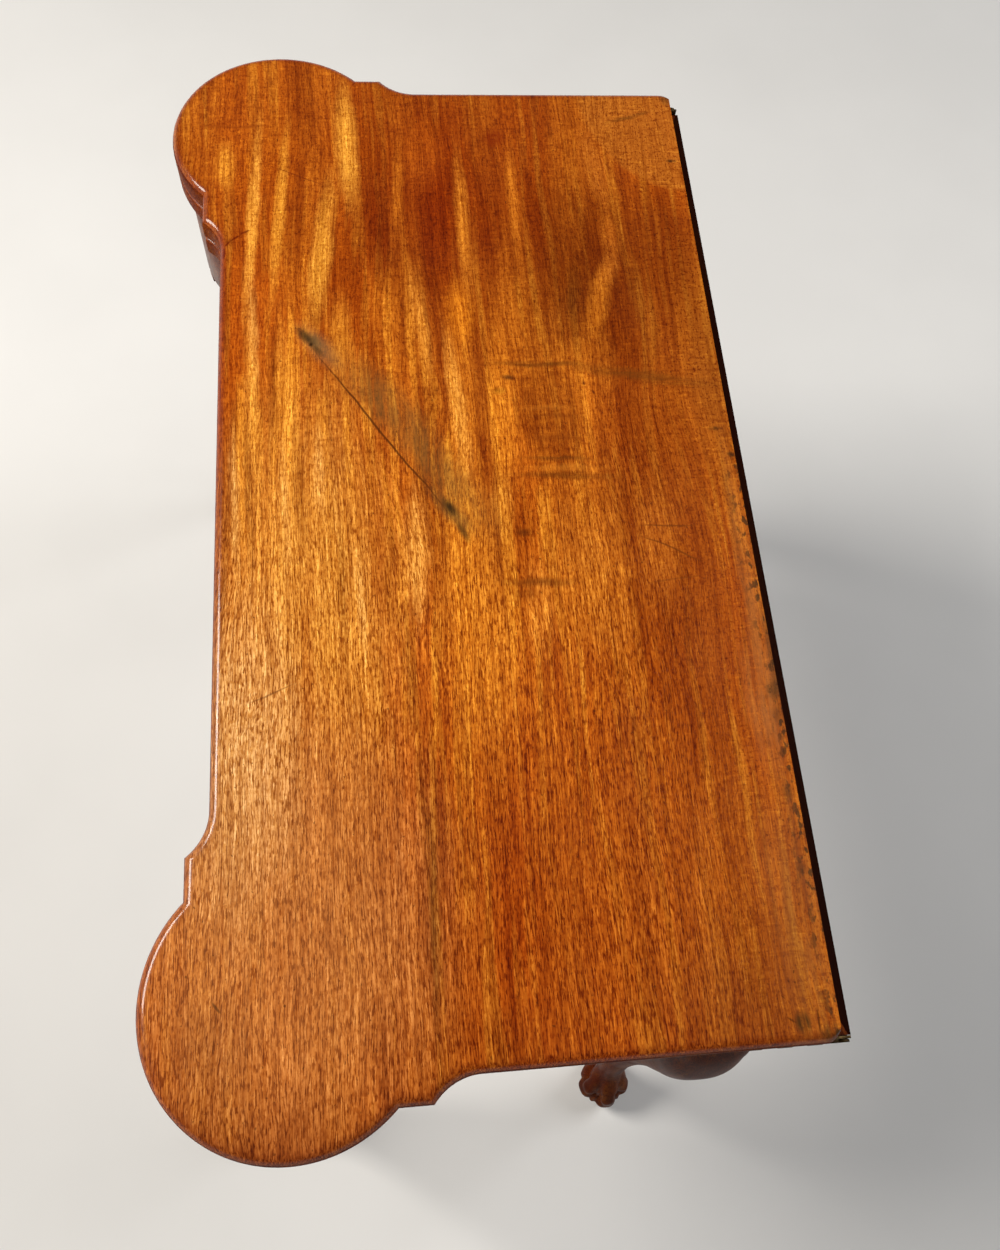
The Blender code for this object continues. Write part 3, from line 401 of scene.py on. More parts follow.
# Marks on the table top: (x, y, half along, half across, turn, soft share), colour, strength. Places are in
# millimetres from the middle of the table. First the broad tones and ribbons of this board.
TOP_TONES = (
    ((-330, 0, 240, 300, 0, 0.8), "#883602", 0.58),
    ((-280, 5, 170, 95, 0, 0.9), "#7c2500", 0.80),
    ((-321, -140, 100, 75, 0, 1.0), "#a84e08", 0.55),
    ((80, -110, 240, 100, 0, 0.9), "#d48a34", 0.80),
    ((310, -134, 210, 150, 0, 0.6), "#b4662a", 0.84),
    ((185, -160, 160, 66, 0, 0.9), "#dca05c", 0.62),
    ((445, -150, 60, 120, 0, 0.8), "#864014", 0.72),
    ((100, 10, 150, 46, 0, 0.9), "#d47c20", 0.64),
    ((320, 30, 190, 66, 0, 0.8), "#903604", 0.70),
    ((60, 155, 330, 80, 0, 0.9), "#883a06", 0.82),
    ((78, 88, 90, 44, 0, 0.9), "#d07a22", 0.62),
    ((320, 165, 130, 50, 0, 1.0), "#9c4c0c", 0.60),
    ((-190, 120, 150, 90, 0, 0.9), "#682400", 0.84),
    ((-340, -72, 92, 13, 1, 0.9), "#e89c34", 0.85),
    ((-225, -95, 110, 12, -6, 0.9), "#e89c34", 0.80),
    ((-315, -173, 36, 12, 0, 0.9), "#e08e28", 0.70),
    ((-260, -150, 140, 7, -3, 0.9), "#e89c38", 0.80),
    ((-80, -149, 130, 8, 3, 0.9), "#e09434", 0.72),
    ((-270, -128, 130, 7, -4, 0.9), "#e0922c", 0.74),
    ((-80, -125, 110, 8, 3, 0.9), "#dc8c2c", 0.72),
    ((-245, 21, 115, 9, 0, 0.9), "#d07a20", 0.80),
    ((-75, 5, 95, 9, 4, 0.9), "#e89838", 0.80),
    ((-285, 66, 80, 8, -2, 0.9), "#c46c18", 0.72),
    ((-314, 138, 58, 13, 5, 0.9), "#b8641a", 0.78),
    ((-240, 143, 34, 11, 0, 0.9), "#b05c14", 0.76),
    ((-202, 137, 30, 11, -20, 0.9), "#b4621a", 0.80),
    ((-165, 124, 70, 13, -16, 0.9), "#bc6816", 0.80),
    ((-155, -19, 70, 9, 4, 0.9), "#e08e30", 0.76),
    ((-290, -31, 80, 7, -4, 0.9), "#c46c18", 0.70),
    ((-245, -48, 85, 20, 6, 0.9), "#661800", 0.72),
    ((-225, -9, 100, 14, 0, 0.9), "#661800", 0.70),
    ((-235, 42, 80, 14, 0, 0.9), "#6c1e00", 0.64),
    ((-255, 84, 80, 16, 0, 0.9), "#702200", 0.64),
    ((-180, 106, 50, 11, -8, 0.9), "#602c04", 0.55),
    ((-120, -60, 120, 12, 5, 0.9), "#8c3804", 0.60),
    ((40, -62, 120, 9, 2, 0.9), "#a04c0a", 0.60),
    ((130, -112, 140, 8, -2, 0.9), "#b05c12", 0.50),
    ((0, -151, 90, 5, 2, 0.9), "#a46220", 0.62),
    ((-2, -115, 80, 6, 2, 0.9), "#a05a16", 0.64),
    ((68, -86, 80, 5, 0, 0.9), "#9c5a18", 0.58),
    ((70, -53, 70, 7, 0, 0.9), "#98500c", 0.56),
    ((12, -161, 100, 5, 2, 0.9), "#eaa856", 0.52),
    ((13, -126, 100, 5, 1, 0.9), "#eaa44c", 0.52),
    ((-20, -101, 52, 7, 0, 0.9), "#eaa44e", 0.55),
    ((85, -74, 60, 5, 3, 0.9), "#eaa650", 0.55),
    ((54, -33, 80, 4, -2, 0.9), "#eaa24a", 0.52),
    ((130, 60, 120, 10, 0, 0.9), "#8a3604", 0.60),
    ((210, 88, 130, 12, 0, 0.9), "#b4580e", 0.55),
    ((275, -34, 150, 9, 0, 1.0), "#6e2e06", 0.56),
    ((318, -35, 95, 3.5, -2, 0.9), "#64340a", 0.55),
    ((-225, 190, 95, 42, 0, 0.7), "#7a3002", 0.72),
    ((-110, 208, 170, 34, 0, 0.8), "#8a440c", 0.72),
    ((-400, 222, 120, 94, 0, 0.07), "#ac5e18", 0.85),
    ((300, 110, 170, 90, 0, 0.8), "#a04e10", 0.62),
    ((390, 150, 90, 70, 0, 0.8), "#86400c", 0.72),
    ((385, 60, 60, 120, 0, 0.9), "#8e3c08", 0.40),
    ((-138, -82, 60, 14, 0, 0.9), "#e08c28", 0.58),
    ((-327, -10, 50, 26, 0, 0.9), "#b4560e", 0.50),
    ((-160, 13, 45, 16, 0, 0.9), "#e08018", 0.52),
    ((-67, 38, 95, 16, -2, 0.9), "#ec8c22", 0.52),
    ((50, -33, 68, 14, -2, 0.9), "#f0a444", 0.62),
    ((-84, 104, 60, 34, -2, 0.9), "#d07018", 0.44),
    ((98, 52, 50, 16, -3, 0.9), "#e48a2c", 0.52),
    ((50, 145, 75, 26, -5, 0.9), "#c46c1c", 0.46),
    ((182, -12, 80, 16, -3, 0.9), "#9c4408", 0.42),
    ((227, 69, 95, 18, -5, 0.9), "#8a3604", 0.40),
    ((376, -172, 50, 36, 0, 0.9), "#8c4a1c", 0.44),
    ((381, 4, 22, 40, 0, 0.9), "#7c2e04", 0.42),
    ((-66, 76, 54, 30, 0, 0.35), "#7a3002", 0.44),
    ((-146, -149, 80, 6, 2, 0.9), "#f0a84c", 0.50),
    ((-95, -134, 80, 4.5, 2, 0.9), "#8a3e06", 0.60),
    ((-34, -154, 68, 4.5, 2, 0.9), "#9a5614", 0.50),
    ((-23, -114, 60, 4, 2, 0.9), "#9c5410", 0.42),
    ((47, -81, 66, 5, 0, 0.9), "#a05a18", 0.42),
    ((90, 112, 150, 15, -3, 0.9), "#cc741e", 0.36),
    ((-112, 124, 42, 14, 0, 0.9), "#c46c18", 0.42),
    ((14, 33, 34, 11, 0, 0.9), "#ec9832", 0.50),
)
# Then stains and rubbed places, which lie in the polish.
TOP_STAINS = (
    ((-70, -44, 100, 26, 36, 0.9), "#6f5426", 0.55),
    ((-5, -4, 70, 26, 34, 0.9), "#6f5426", 0.45),
    ((110, 208, 200, 10, 0, 0.9), "#b07034", 0.42),
    ((300, -130, 170, 120, 0, 0.8), "#c48c50", 0.14),
    ((175, 200, 70, 16, 0, 0.9), "#b8763a", 0.36),
    ((186, 212, 12, 6, 0, 0.9), "#4a2c14", 0.70),
    ((241, 209, 11, 7, 0, 0.9), "#50300f", 0.65),
    ((330, 200, 130, 34, 0, 0.9), "#7c4620", 0.60),
    ((150, 215, 60, 5, 0, 0.9), "#46321a", 0.60),
    ((386, 192, 9, 8, 0, 0.7), "#38260e", 0.90),
    ((292, 209, 6, 5, 0, 0.9), "#502c12", 0.60),
    ((166, 212, 13, 7, 0, 0.9), "#4a3016", 0.72),
    ((394, 210, 12, 10, 0, 0.9), "#38240e", 0.70),
    ((-392, 212, 12, 8, 0, 0.9), "#4c3416", 0.60),
    ((-320, 207, 3, 6, 0, 0.8), "#241408", 0.90),
    ((-47, 203, 3, 7, 0, 0.8), "#2a1a0a", 0.85),
    ((-24, 213, 4, 5, 0, 0.8), "#2a1a0a", 0.80),
)
# Bars that something flat has pressed across the grain.
TOP_BARS = (
    ((-111, 72, 4.5, 52, 0, 0.9), "#5a2a06", 0.74),
    ((-98, 152, 9, 84, -11, 0.9), "#6c380a", 0.68),
    ((-25, 78, 3.5, 42, -3, 0.9), "#602e08", 0.64),
    ((-17, 82, 5, 44, -2, 0.9), "#cc7c24", 0.34),
    ((-70, 76, 4, 30, 0, 0.9), "#c07020", 0.34),
    ((-10, 84, 5, 58, -3, 0.9), "#5e2c06", 0.68),
    ((-62, 78, 4, 34, -1, 0.9), "#6a2a04", 0.45),
    ((-44, 80, 5, 30, 1, 0.9), "#6a2a04", 0.45),
    ((77, 55, 5, 40, -2, 0.9), "#5e2c06", 0.62),
    ((84, 44, 9, 16, -2, 0.9), "#743406", 0.50),
    ((36, 47, 6, 8, 0, 0.9), "#4a1c04", 0.75),
    ((-370, 176, 4, 30, 18, 0.9), "#5e340c", 0.70),
    ((-358, -172, 3, 60, 0, 0.9), "#7a3002", 0.55),
)
# Last the scratches, dents and blots.
TOP_SCRATCHES = (
    ((-345, 54, 14, 12, 0, 0.6), "#701a00", 0.60),
    ((-132, -100, 36, 14, 36, 1.0), "#7a6a44", 0.50),
    ((-136, -103, 16, 8, 38, 0.9), "#54462a", 0.62),
    ((-142, -110, 17, 6, 34, 0.8), "#241c0c", 0.74),
    ((-133, -105.5, 3.6, 2.8, 0, 0.9), "#140c04", 0.85),
    ((-127, -100, 9, 4, 40, 0.8), "#241c0c", 0.60),
    ((18, -5, 34, 10, 38, 1.0), "#4c4222", 0.62),
    ((34, 2, 14, 4, 24, 0.8), "#2a220e", 0.70),
    ((14, -6, 12, 6, 34, 0.9), "#1c160a", 0.85),
    ((-54, -55, 116, 1.3, 33.2, 0.6), "#4e2205", 0.85),
    ((35, 156, 1.1, 28, -2, 0.6), "#6a3208", 0.66),
    ((54, 156, 1.1, 33, -27, 0.6), "#6a3208", 0.74),
    ((78, 154, 1.0, 30, 8, 0.6), "#6a3208", 0.42),
    ((-98.5, 46, 3.6, 8.5, -8, 0.9), "#46200a", 0.80),
    ((-87, 38, 5, 8, 0, 0.9), "#80540c", 0.45),
    ((-91, 104.5, 3.2, 1.7, 10, 0.8), "#4a0c02", 0.82),
    ((-82.6, 111.5, 3.6, 1.5, 20, 0.8), "#4a0c02", 0.82),
    ((151, -137, 22, 0.9, 113, 0.6), "#5a3010", 0.50),
    ((-224, -173.6, 7, 1.4, 0, 0.6), "#5e1600", 0.85),
    ((-232.5, -171, 5, 1.4, 141, 0.6), "#5e1600", 0.85),
    ((-238, -165, 6, 1.4, 128, 0.6), "#5e1600", 0.85),
    ((-244, -157, 7, 1.4, 120, 0.6), "#5e1600", 0.75),
    ((-304, -113, 33, 1.0, 66, 0.6), "#6a2404", 0.60),
    ((351, -169, 6, 1.2, 40, 0.6), "#4a2a12", 0.70),
    ((386, 202, 11, 1.0, -4, 0.6), "#4a2004", 0.75),
    ((384.7, 185, 4, 0.9, 54, 0.6), "#4a2206", 0.65),
)
RIM_WEAR_AND_SHADE = "#6e2606"   # polish darkened by hands along the rim, and painted shade on the rounded edge


def marked(tree, ground, place, marks, through=None):
    """A colour with a table's marks laid over it, broken up by a pattern if one is given."""
    for mark, code, share in marks:
        amount = patch(tree, place, mark)
        if through:
            amount = add(tree, "Math", {0: amount, 1: through}, operation="MULTIPLY")
        ground = tinted(tree, ground, linear(code), amount, share)
    return ground


def top_mahogany(colours):
    """The upper leaf's polished face, with the marks that use has left on it."""
    made, tree, shader, place = start_finish(
        "mahogany_board_shellac_polished", IOR=1.5, Specular_IOR_Level=0.10, Coat_Weight=0.36,
        Coat_Roughness=0.06, Coat_IOR=1.5,
    )
    ground, loose = ribbons(tree, place, 0, colours, 1.0)
    ragged = wander(tree, place, (26.0, 26.0, 26.0), (6.0, 6.0, 0.0), 4.0)
    ground = marked(tree, ground, ragged, TOP_TONES)
    # The rim: polish darkened by hands, and painted shade on the rounded edge.
    rim = add(tree, "Attribute", out="Fac", attribute_name="rim")
    ground = tinted(tree, ground, linear(RIM_WEAR_AND_SHADE), rim, 0.55)
    for k, (along, across, between, change) in enumerate(STREAKS):
        streak = figure(tree, loose, (along, across, across), between, 2.0, seed=25.0 + 2.1 * k)
        ground = tinted(tree, ground, change, streak, 1.0, "MULTIPLY")
    # The grain is open at the right end, and closes towards the left end and the hinge edge.
    rightward, backward = (add(tree, "SeparateXYZ", {0: ragged}, out=axis) for axis in "XY")
    open_grain = add(
        tree, "MapRange", {"Value": rightward, "From Min": -240.0, "From Max": 160.0, "To Min": 0.55},
        interpolation_type="SMOOTHSTEP",
    )
    kept_open = add(
        tree, "MapRange",
        {"Value": backward, "From Min": 120.0, "From Max": 205.0, "To Min": 1.0, "To Max": 0.45},
        interpolation_type="SMOOTHSTEP",
    )
    open_grain = add(tree, "Math", {0: open_grain, 1: kept_open}, operation="MULTIPLY")
    ground, pores = fibres(tree, ground, loose, 0, 1.0, open_grain)
    streaky = figure(tree, loose, (45.0, 4.0, 4.0), (0.10, 0.62), 3.0, seed=17.0)
    ground = marked(tree, ground, ragged, TOP_STAINS, streaky)
    pressed = figure(tree, ragged, (2.6, 30.0, 8.0), (0.12, 0.55), 2.0, seed=19.0)
    ground = marked(tree, ground, ragged, TOP_BARS, pressed)
    unsteady = wander(tree, place, (45.0, 45.0, 45.0), (7.0, 7.0, 0.0), 8.0)
    ground = marked(tree, ground, unsteady, TOP_SCRATCHES)
    # Dirt has gathered in specks along the hinge edge, from the middle to the right end.
    specks = figure(tree, place, (8.0, 5.0, 5.0), (0.52, 0.62), 3.0, seed=27.0)
    strip = add(
        tree, "MapRange", {"Value": backward, "From Min": 200.0, "From Max": 215.0},
        interpolation_type="SMOOTHSTEP",
    )
    right_part = add(
        tree, "MapRange", {"Value": rightward, "From Min": -70.0, "From Max": 10.0},
        interpolation_type="SMOOTHSTEP",
    )
    strip = add(tree, "Math", {0: strip, 1: right_part}, operation="MULTIPLY")
    specks = add(tree, "Math", {0: specks, 1: strip}, operation="MULTIPLY")
    ground = tinted(tree, ground, linear("#3a2612"), specks, 0.85)
    spots = figure(tree, place, (3.0, 2.2, 2.2), (0.71, 0.78), 1.0, seed=21.0)
    ground = tinted(tree, ground, linear("#3c1a08"), spots, 0.6)
    tree.links.new(ground, shader.inputs["Base Color"])
    polish(tree, shader, pores, place, 0.22, 0.32)
    return made


# Oak, sawn and planed, never polished: a dry grey-brown with coarse open grain and pale ray flecks.
def oak(name, axis, colours, seed):
    """Planed oak with its grain along an axis."""
    made, tree, shader, place = start_finish(name, IOR=1.5)
    loose = wander(tree, place, along_grain(axis, 180.0, 60.0), along_grain(axis, 0.0, 9.0), seed)
    ground = (*colours.oak, 1.0)
    lines = figure(tree, loose, along_grain(axis, 160.0, 3.2), (0.42, 0.68), 3.0, seed=seed)
    ground = tinted(tree, ground, colours.oak_dark, lines, 0.65)
    open_grain = figure(tree, loose, along_grain(axis, 12.0, 0.9), (0.58, 0.70), 1.0, seed=seed + 5)
    ground = tinted(tree, ground, linear("#3a2610"), open_grain, 0.6)
    flecks = figure(tree, loose, along_grain(axis, 7.0, 3.0), (0.64, 0.72), 1.0, seed=seed + 8)
    ground = tinted(tree, ground, linear("#c6a570"), flecks, 0.5)
    dust = figure(tree, place, (50.0, 50.0, 50.0), (0.4, 0.75), 4.0, seed=seed + 2)
    ground = tinted(tree, ground, linear("#54432f"), dust, 0.45)
    tree.links.new(ground, shader.inputs["Base Color"])
    polish(tree, shader, open_grain, place, 0.70, 0.85)
    return made


# Baize, woven wool with a raised nap: soft and matt, with a fine felted fleck and pale rubbed patches. The
# nap's fibres are about 0.1 mm and are drawn at 0.6, to show.
def baize_cloth(colours):
    """Green baize, rubbed and stained in places."""
    made, tree, shader, place = start_finish(
        "baize_wool_napped", IOR=1.5, Roughness=0.92, Specular_IOR_Level=0.2,
        Sheen_Weight=0.35, Sheen_Roughness=0.55,
    )
    shader.inputs["Sheen Tint"].default_value = (*linear("#8fae78"), 1.0)
    ground = (*colours.baize, 1.0)
    wear_and_shade = figure(tree, place, (120.0, 90.0, 90.0), (0.42, 0.75), 4.0, seed=3.0)
    ground = tinted(tree, ground, colours.baize_worn, wear_and_shade, 0.55)
    nap = figure(tree, place, (0.9, 0.6, 0.6), (0.30, 0.70), 2.0, seed=6.0)
    ground = tinted(tree, ground, linear("#24451f"), nap, 0.40)
    tufts = figure(tree, place, (3.5, 3.0, 3.0), (0.45, 0.75), 3.0, seed=7.0)
    ground = tinted(tree, ground, linear("#4f7d48"), tufts, 0.35)
    stain = figure(tree, place, (60.0, 45.0, 45.0), (0.62, 0.78), 3.0, seed=13.0)
    ground = tinted(tree, ground, linear("#2c3a1c"), stain, 0.45)
    tree.links.new(ground, shader.inputs["Base Color"])
    height = add(tree, "Bump", {"Strength": 0.5, "Distance": 0.0003, "Height": nap})
    tree.links.new(height, shader.inputs["Normal"])
    return made


# Brass, cast and filed: a dull yellow metal with brown tarnish in patches and fine file lines.
def old_brass(colours):
    """Tarnished brass with file lines."""
    made, tree, shader, place = start_finish("brass_cast_and_filed", Metallic=1.0)
    ground = (*colours.brass, 1.0)
    tarnish = figure(tree, place, (9.0, 9.0, 9.0), (0.35, 0.65), 4.0, 0.6, 2.0)
    ground = tinted(tree, ground, colours.brass_tarnish, tarnish, 0.85)
    hollow = add(tree, "AmbientOcclusion", {"Distance": 0.003}, out="AO", samples=4)
    hollow_darkening = add(tree, "MapRange", {"Value": hollow, "From Min": 0.8, "From Max": 0.4})
    ground = tinted(tree, ground, linear("#2c2214"), hollow_darkening, 0.8)
    tree.links.new(ground, shader.inputs["Base Color"])
    lines = figure(tree, place, (0.5, 9.0, 0.5), (0.3, 0.7), 2.0, seed=4.0)
    gloss = add(tree, "MapRange", {"Value": tarnish, "To Min": 0.44, "To Max": 0.66})
    tree.links.new(gloss, shader.inputs["Roughness"])
    height = add(tree, "Bump", {"Strength": 0.3, "Distance": 0.0001, "Height": lines})
    tree.links.new(height, shader.inputs["Normal"])
    return made


# Iron, forged and drawn: dark grey with brown rust bloom.
def forged_iron(colours):
    """Dark iron with rust."""
    made, tree, shader, place = start_finish("iron_forged", Metallic=1.0)
    ground = (*colours.iron, 1.0)
    rust = figure(tree, place, (5.0, 5.0, 7.0), (0.45, 0.65), 4.0, 0.6)
    ground = tinted(tree, ground, linear("#5a3a26"), rust, 0.7)
    tree.links.new(ground, shader.inputs["Base Color"])
    gloss = add(tree, "MapRange", {"Value": rust, "To Min": 0.45, "To Max": 0.75})
    tree.links.new(gloss, shader.inputs["Roughness"])
    height = add(tree, "Bump", {"Strength": 0.4, "Distance": 0.0002, "Height": rust})
    tree.links.new(height, shader.inputs["Normal"])
    return made


def finish_of(context, name):
    """A finish by its short name, made once."""
    colours = context.scene.games_finish
    made = FINISHES.get(name)
    if made is None:
        kind, _, axis = name.partition("_")
        makers = {
            "top": lambda: top_mahogany(colours),
            "lower": lambda: mahogany(
                "mahogany_board_polished", 0, colours, 5.0, LEAF_DARKER, shine=0.30, dirt_and_shade_behind_hinge=True),
            "inner": lambda: mahogany("mahogany_board_waxed", 0, colours, 7.0, LEAF_DARKER, (0.36, 0.48)),
            # The edge finish is waxed, and its darker colour is painted shade.
            "edge": lambda: mahogany(
                "mahogany_edge_waxed_painted_shade", 0, colours, 5.0, EDGE_PAINTED_SHADE, (0.42, 0.54), 0.02, dirt_and_shade_behind_hinge=True),
            "leg": lambda: mahogany(
                "mahogany_carved_waxed", 2, colours, 5.0, LEG_DARKER, (0.34, 0.48), shine=0.02),
            "mahogany": lambda: mahogany(
                f"mahogany_polished_grain_{axis}", "xyz".index(axis), colours, 5.0),
            "oak": lambda: oak(f"oak_planed_grain_{axis}", "xyz".index(axis), colours, 2.0),
            "baize": lambda: baize_cloth(colours),
            "brass": lambda: old_brass(colours),
            "iron": lambda: forged_iron(colours),
        }
        made = FINISHES[name] = makers[kind]()
    return made


FINISHES = {}   # the finishes made so far, by short name

# Mesh tools


def smooth_share(low, high, at):
    """0 below low, 1 above high, and a smooth rise between."""
    t = min(max((at - low) / (high - low), 0.0), 1.0)
    return t * t * (3 - 2 * t)


def turned(point, angle):
    """A flat point turned about the origin."""
    c, s = math.cos(angle), math.sin(angle)
    return point[0] * c - point[1] * s, point[0] * s + point[1] * c


def quarter(steps):
    """Angles of a quarter turn, in even steps."""
    return [math.pi / 2 * k / steps for k in range(steps + 1)]


def new_ring(bm, points, level):
    """Corners at flat points, all on one level."""
    return [bm.verts.new((x, y, level)) for x, y in points]


def skin(bm, rings):
    """Four-sided faces between rings of equal point count."""
    for lower, upper in zip(rings, rings[1:]):
        for i in range(len(lower)):
            j = (i + 1) % len(lower)
            bm.faces.new((lower[i], lower[j], upper[j], upper[i]))


def fill(bm, loops):
    """Flat faces inside the first loop and outside the others."""
    edges = set()
    for loop in loops:
        for a, b in zip(loop, loop[1:] + loop[:1]):
            edges.add(bm.edges.get((a, b)) or bm.edges.new((a, b)))
    bmesh.ops.triangle_fill(bm, edges=list(edges), use_beauty=True)


def mesh_from(name, bm, crease=32.0):
    """A mesh from bm, facing out: flat where level, smooth elsewhere, sharp above the crease angle."""
    bmesh.ops.recalc_face_normals(bm, faces=bm.faces)
    mesh = bpy.data.meshes.new(name)
    bm.to_mesh(mesh)
    bm.free()
    mesh.polygons.foreach_set("use_smooth", [abs(p.normal.z) < 0.99999 for p in mesh.polygons])
    mesh.set_sharp_from_angle(angle=math.radians(crease))
    return mesh


def put(context, name, mesh, finish, body, nodes):
    """A finished piece that rides on a body and stands for CAD nodes."""
    obj = bpy.data.objects.new(name, mesh)
    context.scene.collection.objects.link(obj)
    mesh.materials.clear()
    mesh.materials.append(finish_of(context, finish))
    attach(obj, body)
    if nodes:
        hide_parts(*nodes)
    return obj


def carve(mesh, boxes):
    """A mesh with boxes, each given by two corners, cut out of it."""
    obj = bpy.data.objects.new("to_carve", mesh)
    bpy.context.scene.collection.objects.link(obj)
    cutters = []
    for low, high in boxes:
        bm = bmesh.new()
        bmesh.ops.create_cube(bm, size=1.0)
        low, high = Vector(map(min, low, high)), Vector(map(max, low, high))
        bmesh.ops.scale(bm, vec=high - low, verts=bm.verts)
        bmesh.ops.translate(bm, vec=(low + high) / 2, verts=bm.verts)
        cutter = bpy.data.objects.new("cutter", mesh_from("cutter", bm))
        bpy.context.scene.collection.objects.link(cutter)
        step = obj.modifiers.new("cut", "BOOLEAN")
        step.operation, step.solver, step.object = "DIFFERENCE", "EXACT", cutter
        cutters.append(cutter)
    bpy.context.view_layer.update()
    graph = bpy.context.evaluated_depsgraph_get()
    bm = bmesh.new()
    bm.from_mesh(obj.evaluated_get(graph).to_mesh())
    for spent in [obj] + cutters:
        bpy.data.objects.remove(spent, do_unlink=True)
    return mesh_from(mesh.name, bm)


FLAT_TURN = math.radians(0.5)   # faces that turn less than this are one face
SHARP_TURN = math.radians(34)   # edges that turn more than this are eased


def eased(node, name, ease, trims=()):
    """A copy of a CAD node's mesh, trimmed by boxes, its edges eased as a plane or file leaves them."""
    bm = bmesh.new()
    bm.from_mesh(frame["nodes"][node].data)
    bmesh.ops.remove_doubles(bm, verts=bm.verts, dist=WELD)
    if trims:
        trimmed = carve(mesh_from(name, bm), trims)
        bm = bmesh.new()
        bm.from_mesh(trimmed)
    bmesh.ops.dissolve_limit(bm, angle_limit=FLAT_TURN, verts=bm.verts, edges=bm.edges)
    sharp = [e for e in bm.edges if len(e.link_faces) == 2 and e.calc_face_angle(0.0) > SHARP_TURN]
    bmesh.ops.bevel(
        bm, geom=sharp, offset=ease, offset_type="OFFSET", segments=2, profile=0.5, affect="EDGES",
        clamp_overlap=True,
    )
    if not all(edge.is_manifold for edge in bm.edges):
        raise ValueError(f"{node} is left open")
    return mesh_from(name, bm, 40.0)


# Leaves

INNER_STEPS, OUTER_STEPS, RIM_STEPS, CORNER_STEPS = 6, 12, 4, 8   # rings and points of the rounded edges


def corner_outline(s, margin, arc_steps=84, cove_steps=14):
    """Points round one corner as (out from the straight end, back from the straight front)."""
    cove_run = math.sqrt(s.cove_radius ** 2 - (s.cove_radius - s.step_proud) ** 2)
    radius = s.turret_radius + margin
    hollow = s.cove_radius - margin
    sweep = math.acos((s.cove_radius - s.step_proud - margin) / hollow)
    step = s.step_proud + margin
    half_chord = math.sqrt(radius ** 2 - (step + s.turret_inset) ** 2)

    def cove(reach):
        """The hollow between a step and the straight edge."""
        turns = [sweep * k / cove_steps for k in range(cove_steps + 1)]
        run = reach + cove_run
        return [(s.cove_radius - hollow * math.cos(t), run - hollow * math.sin(t)) for t in turns]

    points = cove(s.end_step_reach)
    start = math.atan2(-half_chord, step + s.turret_inset)
    span = math.pi / 2 - 2 * start
    for k in range(arc_steps + 1):
        angle = start + span * k / arc_steps
        out = radius * math.cos(angle) - s.turret_inset
        points.append((out, s.turret_inset - radius * math.sin(angle)))
    points += [(-along, -out) for out, along in reversed(cove(s.front_step_reach))]
    return points


def front_line(s):
    """The straight front of the top."""
    return FRONT_RAIL_LOW.y - s.frieze_inset


def top_outline(s, margin, back_y, corner):
    """The whole top's outline, grown by margin everywhere but along the hinge edge."""
    turns = quarter(CORNER_STEPS)[::-1]
    right = [
        (HALF_LENGTH - corner + (corner + margin) * math.cos(t), back_y - corner * (1 - math.sin(t)))
        for t in turns
    ]
    right += [(HALF_LENGTH + out, front_line(s) + back) for out, back in corner_outline(s, margin)]
    return right + [(-x, y) for x, y in reversed(right)]


def oval(centre, along, across, sides=72):
    """Points round an oval of a length and a width."""
    turns = [2 * math.pi * k / sides for k in range(sides)]
    return [(centre[0] + along / 2 * math.cos(t), centre[1] + across / 2 * math.sin(t)) for t in turns]


def well_centres(s, f):
    """The middles of the two counter wells."""
    return [(side * f.well_x, front_line(s) + f.well_y) for side in SIDES.values()]


def field_outlines(s, f, grow):
    """The playing field, drawn in round the candle dishes, and the islands of its wells."""
    turret_x, turret_y = HALF_LENGTH - s.turret_inset, front_line(s) + s.turret_inset
    half = HALF_LENGTH - f.border + grow
    front = front_line(s) + f.border - grow
    back = UPPER_HIGH.y - f.hinge_border + grow
    sweep = f.dish_radius + f.dish_border - grow
    start = math.acos((half - turret_x) / sweep)
    end = math.pi + math.asin((turret_y - front) / sweep)
    steps = 36
    field = [(half, back)]
    for k in range(steps + 1):
        angle = start + (end - start) * k / steps
        field.append((turret_x + sweep * math.cos(angle), turret_y + sweep * math.sin(angle)))
    field += [(-x, y) for x, y in reversed(field)]
    rim = 2 * (f.well_rim - grow)
    return field, [oval(c, f.well_length + rim, f.well_width + rim) for c in well_centres(s, f)]


def sunk(bm, rim_points, depth_at, face, into, slope):
    """A dish: rings from its rim down a soft wall to a flat floor. rim_points gives its outline, grown."""
    steps = 6
    rings = []
    for k in range(steps + 1):
        share = k / steps
        level = face + into * depth_at * smooth_share(0.0, 1.0, share)
        rings.append(new_ring(bm, rim_points(slope * (1 - 2 * share)), level))
    skin(bm, rings)
    bm.faces.new(rings[-1])
    return rings[0]


